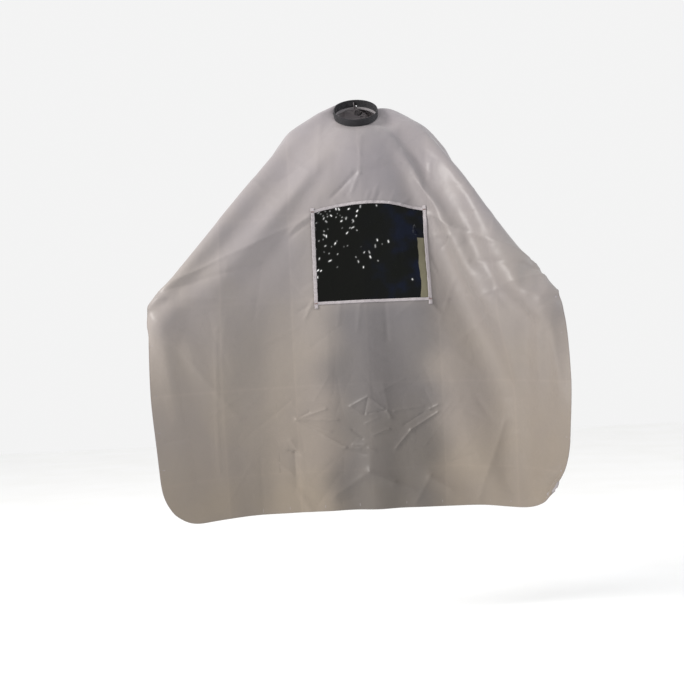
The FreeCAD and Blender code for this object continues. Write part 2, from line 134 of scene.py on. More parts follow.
def round_corner(u, v):
    """Move a net point in a lower corner square onto the quarter circle that the cut has there."""
    radius = LEFT_CORNER if u < 0 else RIGHT_CORNER
    out = abs(u) - (CUT_WIDTH / 2 - radius)
    down = v - (NECK_TO_HEM - radius)
    if out <= 0 or down <= 0:
        return u, v
    level = max(out, down)
    pull = (level / radius) ** 2
    scale = 1 - pull + pull * level / math.hypot(out, down)
    u = math.copysign(CUT_WIDTH / 2 - radius + out * scale, u)
    return u, NECK_TO_HEM - radius + down * scale


def make_net():
    """The net as a mesh, lying flat with +v towards -Y, and its points by column and row, those of
    the slit's second edge apart."""
    net = bmesh.new()
    points = {}
    slit = {}
    for i in range(columns + 1):
        for j in range(rows + 1):
            if max(abs(i - mid_column), abs(j - mid_row)) < NECK_HOLE_CELLS:
                continue
            u, v = round_corner(*round_neck(i, j, across[i], along[j]))
            points[i, j] = net.verts.new((u, -v, 0))
            if i == mid_column and j < mid_row:
                slit[i, j] = net.verts.new((u, -v, 0))
    for i in range(columns):
        for j in range(rows):
            cell = [(i, j), (i + 1, j), (i + 1, j + 1), (i, j + 1)]
            in_hole = (
                -NECK_HOLE_CELLS <= i - mid_column < NECK_HOLE_CELLS
                and -NECK_HOLE_CELLS <= j - mid_row < NECK_HOLE_CELLS
            )
            if in_hole:
                continue
            corners = [slit[c] if c in slit and i >= mid_column else points[c] for c in cell]
            net.faces.new(reversed(corners))
    net.verts.index_update()
    point_index = {c: p.index for c, p in points.items()}
    slit_index = {c: p.index for c, p in slit.items()}
    mesh = bpy.data.meshes.new("cloth_net")
    net.to_mesh(mesh)
    net.free()
    return mesh, point_index, slit_index


net_mesh, net_point, slit_point = make_net()
flat_net = np.array([v.co[:] for v in net_mesh.vertices])
print("net", len(flat_net), "points", len(net_mesh.polygons), "cells")

# %% [markdown]
# ## The wearer
#
# The wearer is only there for the cloth to rest on: a chest, shoulders, a neck and two arms that
# reach to the held edges. Round-ended tubes joined by a remesh make one closed body, which cloth
# slides on without catching. It is removed after the simulation.

# %% Hidden body to drape on
SHOULDER_HALF = 0.155
SHOULDER_DROP = 0.084
TUBE_SIDES = 24


def add_tube(body, start, end, start_radius, end_radius, wide=1.0, deep=1.0):
    """A round-ended tube between two points."""
    start = Vector(start)
    end = Vector(end)
    turn = (end - start).to_track_quat("Z", "Y")
    length = (end - start).length
    levels = []
    for k in range(7):
        angle = math.pi / 2 * (k / 6 - 1)
        levels.append((math.sin(angle) * start_radius, math.cos(angle) * start_radius))
    for k in range(7):
        angle = math.pi / 2 * k / 6
        levels.append((length + math.sin(angle) * end_radius, math.cos(angle) * end_radius))
    loops = []
    for height, radius in levels:
        loop = []
        for n in range(TUBE_SIDES):
            turned = 2 * math.pi * n / TUBE_SIDES
            across_x = max(radius, 1e-4) * wide * math.cos(turned)
            across_y = max(radius, 1e-4) * deep * math.sin(turned)
            loop.append(body.verts.new(start + turn @ Vector((across_x, across_y, height))))
        loops.append(loop)
    for lower, upper in zip(loops, loops[1:]):
        for n in range(TUBE_SIDES):
            m = (n + 1) % TUBE_SIDES
            body.faces.new((lower[n], lower[m], upper[m], upper[n]))
    body.faces.new(list(reversed(loops[0])))
    body.faces.new(loops[-1])


def make_wearer():
    """Chest, neck, shoulders and arms as one body that the cloth collides with."""
    body = bmesh.new()
    add_tube(body, (0, 0.015, -0.15), (0, 0.015, -0.75), 0.125, 0.14, wide=1.3, deep=0.86)
    add_tube(body, (0, 0.03, -0.12), NECK_UP * 0.05, 0.045, 0.040)
    add_tube(body, (-0.14, 0.03, -0.105), (0.14, 0.03, -0.105), 0.055, 0.055)
    for side, hand in ((-1, HAND_LEFT), (1, HAND_RIGHT)):
        shoulder = Vector((SHOULDER_HALF * side, 0.012, -SHOULDER_DROP))
        fist = Vector((hand.x * 0.95, hand.y + 0.02, hand.z - 0.045))
        elbow = shoulder.lerp(fist, 0.5) + Vector((0, 0.025, -0.03))
        add_tube(body, (0.080 * side, 0.048, -0.026), shoulder, 0.046, 0.052)
        add_tube(body, shoulder, elbow, 0.05, 0.04)
        add_tube(body, elbow, fist, 0.04, 0.026)
    mesh = bpy.data.meshes.new("wearer")
    body.to_mesh(mesh)
    body.free()
    wearer = bpy.data.objects.new("wearer", mesh)
    bpy.context.scene.collection.objects.link(wearer)
    join = wearer.modifiers.new("join", "REMESH")
    join.mode = "VOXEL"
    join.voxel_size = 0.016
    bpy.context.view_layer.objects.active = wearer
    wearer.select_set(True)
    bpy.ops.object.modifier_apply(modifier="join")
    wearer.modifiers.new("collide", "COLLISION")
    wearer.collision.thickness_outer = 0.006
    wearer.collision.cloth_friction = 8.0
    return wearer


# %% [markdown]
# ## Hanging the cloth
#
# The net starts as it would lie just before it is let go: spread level over the shoulders, with the
# front bent down before the chest. The neck edge moves onto the tilted neck opening, and a pinch at
# each side edge moves to its hand. The lower edge and the two side panels are led by a weak pull,
# because a real hem is doubled and stays open, where a bare net would roll in. The round corners roll
# in most easily, so they are led more firmly. The hem's plan is drawn at full length: flat before the
# chest and turned forward beside it, as the hands hold it.

# %% Where held points go
BEND_AT = 0.33
BEND_RADIUS = 0.03
BEND_FROM = 0.27
BEND_TO = 0.49
PLAN_STEPS = 40
LEFT_TURN = (math.radians(30), math.radians(45))
RIGHT_TURN = (math.radians(61), math.radians(65))
FRONT_PLANE = -0.120
HEM_PULL = 0.4
CORNER_PULL = 0.85
PINCH_RADIUS = 0.026
PINCH_GATHER = 0.6
LED_FROM = HELD_AT + 0.08
SIDE_PANEL = (0.36, 0.80)
CORNER_PANEL = (0.42, 0.88)
FILM_BESIDE = 0.165
FILM_MIDDLE = (film_low.x + film_high.x) / 2
FILM_ROWS = (0.30, 0.58)


def start_point(u, v):
    """Level over the shoulders, then bent straight down at BEND_AT."""
    over = v - (BEND_AT - BEND_RADIUS)
    arc = BEND_RADIUS * math.pi / 2
    if over <= 0:
        return u, -v, 0.0
    if over < arc:
        turn = over / BEND_RADIUS
        out = BEND_AT - BEND_RADIUS + BEND_RADIUS * math.sin(turn)
        return u, -out, -BEND_RADIUS * (1 - math.cos(turn))
    return u, -BEND_AT, -BEND_RADIUS - (over - arc)


def neck_point(u, v):
    """On the tilted neck opening."""
    return u, -v * math.cos(NECK_TILT), -v * math.sin(NECK_TILT)


def plan_of(reach, turn):
    """How far out and how far forward an edge comes that bends forward bit by bit."""
    out = forward = 0.0
    for n in range(PLAN_STEPS):
        from_middle = reach * (n + 0.5) / PLAN_STEPS
        heading = turn * ease((from_middle - BEND_FROM) / (BEND_TO - BEND_FROM))
        out += math.cos(heading) * reach / PLAN_STEPS
        forward += math.sin(heading) * reach / PLAN_STEPS
    return out, forward


def hem_point(u, v):
    """Where a point below the hands hangs, if the cloth follows the hem's plan."""
    share = (u / CUT_WIDTH) + 0.5
    held = HAND_LEFT.z * (1 - share) + HAND_RIGHT.z * share
    fall = (v - HELD_AT) / (NECK_TO_HEM - HELD_AT)
    top_turn, foot_turn = LEFT_TURN if u < 0 else RIGHT_TURN
    turn = top_turn * (1 - fall) + foot_turn * fall
    out, forward = plan_of(abs(u), turn)
    return math.copysign(out, u), FRONT_PLANE - forward, held + fall * (HEM_HEIGHT - held)


def inside(panel, u, v):
    """True beyond a panel's inner edge and below its top."""
    return abs(u) > panel[0] and v > panel[1]


held_target = np.array([start_point(u, -y) for u, y, _ in flat_net])
start_net = held_target.copy()
firm = []
led = []
for (i, j), k in list(net_point.items()) + list(slit_point.items()):
    u, v = flat_net[k][0], -flat_net[k][1]
    at_neck = max(abs(i - mid_column), abs(j - mid_row)) == NECK_HOLE_CELLS
    side_hand = HAND_LEFT if u < 0 else HAND_RIGHT
    from_pinch = math.hypot(abs(u) - CUT_WIDTH / 2, v - HELD_AT)
    if at_neck:
        held_target[k] = neck_point(u, v)
        firm.append(k)
    elif from_pinch < PINCH_RADIUS:
        shift = PINCH_GATHER * (u - math.copysign(CUT_WIDTH / 2, u))
        drop = PINCH_GATHER * (v - HELD_AT)
        held_target[k] = (side_hand.x + shift, side_hand.y, side_hand.z - drop)
        firm.append(k)
    elif v > LED_FROM and (i in (0, columns) or j == rows or inside(SIDE_PANEL, u, v)):
        held_target[k] = hem_point(u, v)
        led.append(k)
led_corners = [k for k in led if inside(CORNER_PANEL, flat_net[k][0], -flat_net[k][1])]
stiff_zone = [
    k
    for (i, j), k in net_point.items()
    if min(i, columns - i, rows - j) <= 1
    or (abs(across[i] - FILM_MIDDLE) < FILM_BESIDE and FILM_ROWS[0] < along[j] < FILM_ROWS[1])
]
print("held", len(firm), "led", len(led), "stiffer", len(stiff_zone))

# %% [markdown]
# ## The run
#
# The cloth is thin and slack, so it bends easily, and more stiffly where it is doubled at the hem or
# sewn to the film. The flat cut is its rest shape, so it keeps its size however it hangs. Behind the
# back, where nobody holds it, the cloth would stand off further than the space it has, so its depth
# is eased in afterwards.

# %% Simulation
HOLD_FRAME = 30
LAST_FRAME = 120
BACK_EASED_FROM = 0.10
BACK_EASE = 3.1


def key(cape, name, coordinates):
    """A shape key of the net at these points."""
    shape = cape.shape_key_add(name=name, from_mix=False)
    shape.data.foreach_set("co", np.asarray(coordinates, np.float32).ravel())
    return shape


def drape():
    """Run the cloth and return the net's points as it hangs."""
    hanging = net_mesh.copy()
    hanging.vertices.foreach_set("co", start_net.astype(np.float32).ravel())
    cape = bpy.data.objects.new("hanging_net", hanging)
    bpy.context.scene.collection.objects.link(cape)
    key(cape, "start", start_net)
    held = key(cape, "held", held_target)
    held.value = 0
    held.keyframe_insert("value", frame=1)
    held.value = 1
    held.keyframe_insert("value", frame=HOLD_FRAME)
    flat = key(cape, "flat", flat_net)
    flat.value = 0
    pins = cape.vertex_groups.new(name="held")
    pins.add(firm, 1.0, "REPLACE")
    pins.add(led, HEM_PULL, "REPLACE")
    pins.add(led_corners, CORNER_PULL, "REPLACE")
    stiff = cape.vertex_groups.new(name="stiff")
    stiff.add(stiff_zone, 1.0, "REPLACE")
    cloth = cape.modifiers.new("cloth", "CLOTH")
    settings = cloth.settings
    settings.quality = 6
    settings.mass = 0.2
    settings.air_damping = 3.0
    settings.tension_stiffness = 60
    settings.compression_stiffness = 50
    settings.shear_stiffness = 20
    settings.bending_stiffness = 3.0
    settings.bending_stiffness_max = 24.0
    settings.vertex_group_bending = "stiff"
    settings.tension_damping = 10
    settings.compression_damping = 10
    settings.shear_damping = 10
    settings.bending_damping = 0.5
    settings.rest_shape_key = flat
    settings.vertex_group_mass = "held"
    cloth.collision_settings.distance_min = 0.006
    cloth.collision_settings.collision_quality = 3
    cloth.collision_settings.use_self_collision = True
    cloth.collision_settings.self_distance_min = 0.006
    cloth.point_cache.frame_end = LAST_FRAME
    scene = bpy.context.scene
    for moment in range(1, LAST_FRAME + 1):
        scene.frame_set(moment)
    hung = cape.evaluated_get(bpy.context.evaluated_depsgraph_get())
    places = np.array([v.co[:] for v in hung.data.vertices])
    scene.frame_set(1)
    bpy.data.objects.remove(cape)
    bpy.data.meshes.remove(hanging)
    return places


wearer = make_wearer()
hung_net = drape()
bpy.data.objects.remove(wearer)
past_back = np.maximum(0, hung_net[:, 1] - BACK_EASED_FROM)
hung_net[:, 1] -= BACK_EASE * past_back**2
print("hung", hung_net.min(0).round(3), hung_net.max(0).round(3))

# %% [markdown]
# ## From the net to cloth
#
# Every 20 mm cell is divided into 16 by subdivision, which also rounds the folds. The same is done to
# the flat cut, so each fine point has a place in the flat cut and a place in the air. Anything that is
# sewn on can then be laid by its place in the flat cut.

# %% Fine cloth
STAR_LOW = (-0.26, 0.76)
STAR_HIGH = (0.24, 1.02)


def divided(coordinates, finer=None):
    """The net at these points with every cell divided into 16, as a mesh. The edges listed in finer
    are then halved once more."""
    rough = net_mesh.copy()
    rough.vertices.foreach_set("co", np.asarray(coordinates, np.float32).ravel())
    holder = bpy.data.objects.new("holder", rough)
    bpy.context.scene.collection.objects.link(holder)
    divide = holder.modifiers.new("divide", "SUBSURF")
    divide.levels = 2
    fine = bpy.data.meshes.new_from_object(holder.evaluated_get(bpy.context.evaluated_depsgraph_get()))
    bpy.data.objects.remove(holder)
    if finer:
        halved = bmesh.new()
        halved.from_mesh(fine)
        halved.edges.ensure_lookup_table()
        edges = [halved.edges[n] for n in finer]
        bmesh.ops.subdivide_edges(halved, edges=edges, cuts=1, use_grid_fill=True)
        halved.to_mesh(fine)
        halved.free()
    return fine


def in_star(vertex):
    """True in the part of the flat cut where the pressed star of creases is."""
    u, v = vertex.co.x, -vertex.co.y
    return STAR_LOW[0] < u < STAR_HIGH[0] and STAR_LOW[1] < v < STAR_HIGH[1]


def points_of(mesh):
    return np.array([v.co[:] for v in mesh.vertices])


coarse_flat = divided(flat_net)
star_edges = [
    e.index for e in coarse_flat.edges if all(in_star(coarse_flat.vertices[n]) for n in e.vertices)
]
flat_mesh = divided(flat_net, star_edges)
cloth_mesh = divided(hung_net, star_edges)
flat_fine = points_of(flat_mesh) * (1, -1, 1)
cloth_fine = points_of(cloth_mesh)
flat_mesh.calc_loop_triangles()
triangles = np.array([t.vertices[:] for t in flat_mesh.loop_triangles])
U, V = flat_fine[:, 0], flat_fine[:, 1]


def normals_of(coordinates):
    """A unit normal at every fine point."""
    a, b, c = (coordinates[triangles[:, k]] for k in range(3))
    face = np.cross(b - a, c - a)
    total = np.zeros_like(coordinates)
    for k in range(3):
        np.add.at(total, triangles[:, k], face)
    return total / np.linalg.norm(total, axis=1, keepdims=True)


flat_tree = BVHTree.FromPolygons(
    [Vector((u, v, 0)) for u, v in zip(U, V)], [tuple(int(n) for n in t) for t in triangles]
)


def share_of(point, corners):
    """How much each corner of a triangle counts at a point in it."""
    a, b, c = corners
    across_ab, across_ac, to_point = b - a, c - a, point - a
    whole = np.linalg.norm(np.cross(across_ab, across_ac))
    at_b = np.dot(np.cross(to_point, across_ac), np.cross(across_ab, across_ac)) / whole**2
    at_c = np.dot(np.cross(across_ab, to_point), np.cross(across_ab, across_ac)) / whole**2
    return 1 - at_b - at_c, at_b, at_c


def seen_from_front():
    """A tree of the cloth as it hangs, for finding the flat place of a spot on the front."""
    return BVHTree.FromPolygons(
        [Vector(p) for p in cloth_fine], [tuple(int(n) for n in t) for t in triangles]
    )


front_tree = seen_from_front()


def flat_at(x, z):
    """The place in the flat cut of the spot that is seen from the front at x and z, or of the
    nearest spot of cloth where there is none."""
    spot, _, index, _ = front_tree.ray_cast(Vector((x, -1.0, z)), Vector((0, 1, 0)))
    if spot is None:
        spot, _, index, _ = front_tree.find_nearest(Vector((x, -0.2, z)))
    corners = triangles[index]
    shares = share_of(np.array(spot), cloth_fine[corners])
    return tuple(sum(s * flat_fine[n][:2] for s, n in zip(shares, corners)))


print("fine points", len(cloth_fine), "under the chin", [round(c, 3) for c in flat_at(0, -0.1)])

# %% [markdown]
# ## Creases
#
# A cape comes folded into a small pack, so its cloth keeps a grid of sharp folds. The folds turn
# outwards and inwards by turns, so the panels between them lean a little, and each catches the light
# differently. Pressing also leaves a star of short creases where the layers slipped. Both are added
# along the cloth's normal, by the place in the flat cut. A crease is given by its two ends as seen
# from the front (x, z, x, z) and its height. Sharp creases share one half width, and each soft one
# has its own.

# %% Folds from the pack, and creases
PACK_ACROSS = 0.20
PACK_ALONG = 0.232
PACK_START = 0.085
PACK_RISE_ACROSS = 0.0045
PACK_RISE_ALONG = 0.0035
SHARP = 0.0036
SHARP_CREASES = [
    (-0.202, -0.836, -0.121, -0.812, 0.0032), (-0.202, -0.836, -0.167, -0.818, -0.0027),
    (-0.202, -0.836, -0.091, -0.843, 0.0036), (-0.202, -0.836, -0.111, -0.874, 0.0029),
    (-0.202, -0.836, -0.136, -0.879, -0.0027), (-0.202, -0.836, -0.073, -0.917, 0.0042),
    (-0.073, -0.917, -0.033, -0.924, 0.0036), (-0.076, -0.925, -0.015, -0.938, -0.0021),
    (-0.006, -0.783, -0.055, -0.808, 0.0032), (-0.006, -0.783, 0.043, -0.823, 0.0036),
    (-0.006, -0.783, -0.018, -0.835, -0.0032), (-0.051, -0.81, -0.018, -0.835, 0.0027),
    (-0.004, -0.828, 0.04, -0.822, -0.0038), (-0.018, -0.835, 0.015, -0.828, 0.0023),
    (0.142, -0.817, 0.064, -0.825, 0.0032), (0.182, -0.815, 0.16, -0.825, 0.0036),
    (0.181, -0.835, 0.108, -0.878, 0.0046), (0.108, -0.878, 0.063, -0.926, 0.0038),
    (0.144, -0.834, 0.09, -0.865, -0.0025), (0.006, -0.886, 0.047, -0.872, 0.0032),
    (-0.052, -0.871, -0.025, -0.894, -0.0036), (-0.02, -0.914, -0.051, -0.911, 0.0027),
    (-0.008, -0.922, 0.007, -0.929, 0.0036), (0.02, -0.84, -0.014, -0.855, 0.0021),
    (0.043, -0.823, 0.053, -0.842, 0.0027), (-0.194, -0.325, -0.141, -0.284, 0.0032),
    (-0.195, -0.341, -0.142, -0.303, -0.0032), (0.009, -0.071, -0.001, -0.175, 0.0023),
    (0.001, -0.173, -0.023, -0.225, 0.0032), (0.052, -0.135, 0.11, -0.151, 0.0025),
    (0.11, -0.151, 0.141, -0.182, 0.0025), (0.194, -0.152, 0.192, -0.195, 0.0021),
    (0.111, -0.075, 0.146, -0.088, -0.0021), (0.014, -0.254, 0.023, -0.227, 0.0027),
    (0.041, -0.255, 0.053, -0.229, -0.0027), (0.03, -0.255, 0.045, -0.215, 0.0025),
    (0.11, -0.261, 0.13, -0.249, 0.0023), (-0.029, -0.255, -0.042, -0.23, -0.0023),
    (-0.067, -0.258, -0.082, -0.236, 0.0025), (0.078, -0.262, 0.096, -0.226, 0.0023),
    (0.179, -0.294, 0.203, -0.349, 0.0029), (0.187, -0.354, 0.235, -0.359, 0.0025),
    (0.227, -0.364, 0.215, -0.385, -0.0029), (0.179, -0.413, 0.196, -0.451, 0.0023),
    (-0.141, -0.516, -0.165, -0.563, 0.0029), (-0.155, -0.529, -0.183, -0.546, -0.0025),
    (0.173, -0.531, 0.198, -0.564, 0.0029), (-0.015, -0.53, -0.024, -0.602, 0.0025),
    (-0.069, -0.53, -0.077, -0.586, 0.0021), (-0.403, -0.584, -0.415, -0.961, 0.0025),
]
SOFT_CREASES = [
    (-0.007, -0.986, -0.107, -1.046, 0.0058, 0.013), (-0.007, -0.986, 0.051, -1.018, 0.0054, 0.012),
    (0.051, -1.018, 0.107, -1.04, 0.0034, 0.01), (-0.006, -0.935, -0.007, -0.986, 0.003, 0.02),
    (-0.083, -1.061, -0.058, -1.056, -0.003, 0.01), (-0.211, -0.925, -0.209, -1.024, -0.005, 0.012),
    (-0.209, -1.024, -0.174, -1.085, 0.004, 0.01), (-0.22, -0.894, -0.194, -0.93, 0.004, 0.01),
    (-0.225, -0.92, -0.196, -0.93, -0.0037, 0.005), (0.152, -1.008, 0.114, -1.073, 0.0052, 0.014),
    (0.152, -1.008, 0.209, -1.044, 0.0044, 0.014), (-0.151, -1.067, -0.092, -0.989, -0.003, 0.02),
    (-0.086, -0.733, -0.077, -0.815, -0.0026, 0.016), (0.037, -0.757, 0.051, -0.842, 0.0028, 0.016),
    (-0.574, -0.504, -0.144, -0.292, 0.005, 0.01), (-0.58, -0.517, -0.274, -0.407, -0.0036, 0.01),
    (-0.581, -0.522, -0.311, -0.508, 0.003, 0.01), (0.502, -0.525, 0.184, -0.297, 0.005, 0.01),
    (0.504, -0.533, 0.285, -0.434, -0.0036, 0.009), (0.504, -0.546, 0.308, -0.526, 0.0028, 0.01),
    (-0.012, -0.175, -0.08, -0.239, -0.0048, 0.005), (0.052, -0.533, 0.055, -0.633, -0.0026, 0.005),
    (0.359, -0.863, 0.282, -1.075, 0.0034, 0.014), (-0.505, -0.633, -0.468, -0.985, -0.0036, 0.02),
    (-0.555, -0.55, -0.353, -0.829, 0.0034, 0.016),
]
LIFT = np.zeros(len(U))


def zigzag(x, pitch):
    """1 at every even multiple of the pitch, -1 at every odd one, straight in between."""
    return 2 * np.abs((x / pitch) % 2 - 1) - 1


def crease(start, end, height, half_width):
    """A straight crease between two flat places, fading at its ends, as lift at every fine point."""
    start, end = np.array(start), np.array(end)
    along_line = end - start
    length = np.linalg.norm(along_line)
    along_line = along_line / length
    offset = np.stack([U - start[0], V - start[1]], axis=1)
    run = offset @ along_line
    aside = np.abs(offset[:, 0] * along_line[1] - offset[:, 1] * along_line[0])
    past = np.maximum(0, np.abs(run - length / 2) - length / 2)
    return height * np.exp(-np.hypot(aside, past) / half_width)


LIFT += PACK_RISE_ACROSS * zigzag(U, PACK_ACROSS) * np.clip((np.abs(V) - 0.05) / 0.15, 0, 1)
LIFT += PACK_RISE_ALONG * zigzag(V - PACK_START, PACK_ALONG) * np.clip((V - 0.05) / 0.2, 0, 1)
for x1, z1, x2, z2, height in SHARP_CREASES:
    LIFT += crease(flat_at(x1, z1), flat_at(x2, z2), height, SHARP)
for x1, z1, x2, z2, height, half_width in SOFT_CREASES:
    LIFT += crease(flat_at(x1, z1), flat_at(x2, z2), height, half_width)

CRUMPLE_COUNT = 360
CRUMPLE_HEIGHT = 0.0013
CRUMPLE_HALF_WIDTH = 0.0055
chance = np.random.RandomState(11)
for _ in range(CRUMPLE_COUNT):
    middle = chance.uniform((-0.6, -0.28), (0.6, 1.11))
    lean = chance.uniform(0, math.pi)
    half = chance.uniform(0.02, 0.09) * np.array([math.cos(lean), math.sin(lean)])
    height = chance.uniform(-CRUMPLE_HEIGHT, CRUMPLE_HEIGHT)
    LIFT += crease(middle - half, middle + half, height, CRUMPLE_HALF_WIDTH)
cloth_fine = cloth_fine + normals_of(cloth_fine) * LIFT[:, None]
cloth_normals = normals_of(cloth_fine)
print("creases lift the cloth", LIFT.min().round(4), "to", LIFT.max().round(4))


def place(u, v, lift=0.0):
    """The spot in the air that lies over a flat place, lifted off the cloth, and the normal there."""
    spot, _, index, _ = flat_tree.find_nearest(Vector((u, v, 0)))
    corners = triangles[index]
    shares = share_of(np.array(spot), flat_fine[corners] * (1, 1, 0))
    point = sum(s * cloth_fine[n] for s, n in zip(shares, corners))
    normal = Vector(sum(s * cloth_normals[n] for s, n in zip(shares, corners))).normalized()
    return Vector(point) + normal * lift, normal


# %% [markdown]
# ## The window's opening
#
# A piece is cut out of the cloth behind the film, and the film is sewn over the hole. The top edge is
# a shallow arch. The net's points next to the hole are moved onto the cut line, so the edge is clean
# under the tape. The cloth is one sheet, because the real one is only 0.2 mm thick. Four numbers are
# kept at each point for the material: its place in the flat cut, its painted shade where the wearer's
# dark clothes would show through and in one fold, and how much paler it is made along the pack's folds.

# %% Cloth with its opening
film_mesh = frame["nodes"]["window_film"].data
side_tops = [v.co.z for v in film_mesh.vertices if abs(v.co.x - film_low.x) < 0.001]
WINDOW_HALF = (film_high.x - film_low.x) / 2
WINDOW_MIDDLE = (film_high.x + film_low.x) / 2
WINDOW_FOOT = film_low.z
WINDOW_SIDE = max(side_tops) - WINDOW_FOOT
WINDOW_ARCH = film_high.z - max(side_tops)
OPENING_INSET = 0.003
anchor_u, anchor_v = flat_at(WINDOW_MIDDLE, WINDOW_FOOT + WINDOW_SIDE / 2)


def window_top(across_window):
    """Height of the arch over the window's foot, at a share from -1 to 1 across the window."""
    return WINDOW_SIDE + WINDOW_ARCH * (1 - across_window**2)


def to_flat(a, h):
    """The flat place of a point of the window: a from its middle line, h over its foot."""
    return anchor_u + a, anchor_v + WINDOW_SIDE / 2 - h


def to_cut_line(a, h):
    """Move a point of the window onto the nearest part of the cut line."""
    reach = WINDOW_HALF - OPENING_INSET
    a = min(reach, max(-reach, a))
    foot, top = OPENING_INSET, window_top(a / WINDOW_HALF) - OPENING_INSET
    h = min(top, max(foot, h))
    gaps = {"left": a + reach, "right": reach - a, "foot": h - foot, "top": top - h}
    nearest = min(gaps, key=gaps.get)
    moved = {"left": (-reach, h), "right": (reach, h), "foot": (a, foot), "top": (a, top)}
    return moved[nearest]


window_a = U - anchor_u
window_h = anchor_v + WINDOW_SIDE / 2 - V
in_window = (
    (np.abs(window_a) < WINDOW_HALF - OPENING_INSET)
    & (window_h > OPENING_INSET)
    & (window_h < window_top(window_a / WINDOW_HALF) - OPENING_INSET)
)
cut_away = in_window[triangles].sum(axis=1) >= 2
kept = triangles[~cut_away]
rim = sorted(set(triangles[cut_away].ravel()) & set(kept.ravel()))
shell_points = cloth_fine.copy()
for n in rim:
    shell_points[n] = place(*to_flat(*to_cut_line(window_a[n], window_h[n])))[0]
used = np.unique(kept)
renumber = np.full(len(cloth_fine), -1)
renumber[used] = np.arange(len(used))


def show(name, points, faces, body="cape", smooth=True):
    """A piece of the object from points and faces, riding its body."""
    mesh = bpy.data.meshes.new(name)
    mesh.from_pydata([tuple(float(c) for c in p) for p in points], [], faces)
    mesh.update()
    if smooth:
        mesh.shade_smooth()
    piece = bpy.data.objects.new(name, mesh)
    bpy.context.scene.collection.objects.link(piece)
    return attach(piece, body)


def remember(piece, name, values):
    """Keep one number for each point of a piece, for its material."""
    store = piece.data.attributes.new(name, "FLOAT", "POINT")
    store.data.foreach_set("value", np.asarray(values, np.float32))


def soft_step(values, low, high):
    """0 below low, 1 above high, smooth in between, for an array."""
    t = np.clip((values - low) / (high - low), 0, 1)
    return t * t * (3 - 2 * t)


def painted_shade_mask():
    """Painted shade at every fine point, where the wearer's dark clothes would show through, and in a
    fold.
    """
    sway = 0.012 * np.sin(V * 19) + 0.01 * np.sin(V * 43 + 1)
    aside = np.abs(U - 0.045 + sway)
    lap = (1 - soft_step(aside, 0.09, 0.20)) * soft_step(V, 0.50, 0.60)
    chest = (1 - soft_step(np.abs(U - 0.06), 0.04, 0.16)) * soft_step(V, 0.02, 0.10) * 0.30
    left_fold = (1 - soft_step(np.abs(U + 0.33), 0.02, 0.09)) * soft_step(V, 0.45, 0.65) * 0.35
    return np.clip(np.maximum.reduce([lap, chest, left_fold]), 0, 1)


def fold_line_paleness():
    """The pack's fold lines, where the cloth's colour is made a little paler."""
    to_across = np.abs((U / PACK_ACROSS + 0.5) % 1 - 0.5) * PACK_ACROSS
    to_along = np.abs(((V - PACK_START) / PACK_ALONG + 0.5) % 1 - 0.5) * PACK_ALONG
    to_fold = np.minimum(to_across, to_along + 10 * (V < 0.1))
    return np.exp(-to_fold / 0.0025)


shell = show("cape_cloth", shell_points[used], renumber[kept].tolist())
remember(shell, "flat_u", U[used])
remember(shell, "flat_v", V[used])
remember(shell, "painted_shade", painted_shade_mask()[used])
remember(shell, "fold_paleness", fold_line_paleness()[used])
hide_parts("cape_shell")

# %% [markdown]
# ## The film
#
# The film is thin clear plastic, and it looks dark here because of what is behind it. It was folded with
# the cape, so it is full of small sharp dents which catch the light. Painted glints, white marks in the
# film's colour, sit on the listed dents and on faint spots near the upper left. The film is a finer net
# than the cloth, so that the dents can be sharp.

# %% Film with dents
FILM_CELL = 0.0018
# Sharp dents, each with a painted glint: x and z as seen from the front, and a half length.
DENTS_AND_GLINTS = [
    (-0.116, -0.277, 0.0022), (-0.103, -0.294, 0.0027), (-0.097, -0.303, 0.0027),
    (-0.083, -0.287, 0.0022), (-0.069, -0.268, 0.0038), (-0.061, -0.270, 0.0033),
    (-0.034, -0.271, 0.0022), (-0.002, -0.266, 0.0033), (-0.011, -0.278, 0.0025),
    (-0.014, -0.292, 0.0019), (-0.042, -0.297, 0.0033), (-0.055, -0.304, 0.0016),
    (-0.023, -0.305, 0.0025), (-0.025, -0.323, 0.0044), (-0.041, -0.337, 0.0033),
    (-0.103, -0.340, 0.0038), (-0.098, -0.343, 0.0033), (-0.075, -0.364, 0.0030),
    (-0.102, -0.369, 0.0016), (-0.120, -0.403, 0.0025), (-0.091, -0.410, 0.0044),
    (-0.126, -0.435, 0.0038), (-0.117, -0.436, 0.0016), (-0.127, -0.453, 0.0027),
    (-0.131, -0.462, 0.0022), (0.040, -0.360, 0.0025), (0.034, -0.376, 0.0038),
    (0.070, -0.365, 0.0027), (0.017, -0.392, 0.0038), (0.003, -0.392, 0.0019),
    (0.019, -0.405, 0.0033), (-0.014, -0.416, 0.0027), (-0.001, -0.432, 0.0019),
    (0.131, -0.470, 0.0014), (0.042, -0.265, 0.0019), (-0.129, -0.376, 0.0016),
]


def film_points():
    """Flat offsets of the film's net, whose top row follows the arch."""
    wide = int(round(2 * WINDOW_HALF / FILM_CELL))
    tall = int(round((WINDOW_SIDE + WINDOW_ARCH / 2) / FILM_CELL))
    net = []
    for j in range(tall + 1):
        for i in range(wide + 1):
            share = 2 * i / wide - 1
            net.append((share * WINDOW_HALF, window_top(share) * j / tall))
    return wide, tall, np.array(net)


wide, tall, film_net = film_points()
film_a, film_h = film_net[:, 0], film_net[:, 1]
film_lift = np.zeros(len(film_net))
painted_glints = np.zeros(len(film_net))
BROAD_DENTS = 170
FAINT_GLINTS = 46
DENT_HEIGHT = 0.0012
FILM_UNDER = 0.0006


def dent(a, h, lean, half_length, height, half_width):
    """The lift of a short straight dent at every point of the film."""
    run = (film_a - a) * math.cos(lean) + (film_h - h) * math.sin(lean)
    aside = (film_a - a) * math.sin(lean) - (film_h - h) * math.cos(lean)
    past = np.maximum(0, np.abs(run) - half_length)
    return height * np.exp(-np.hypot(aside, past) / half_width)


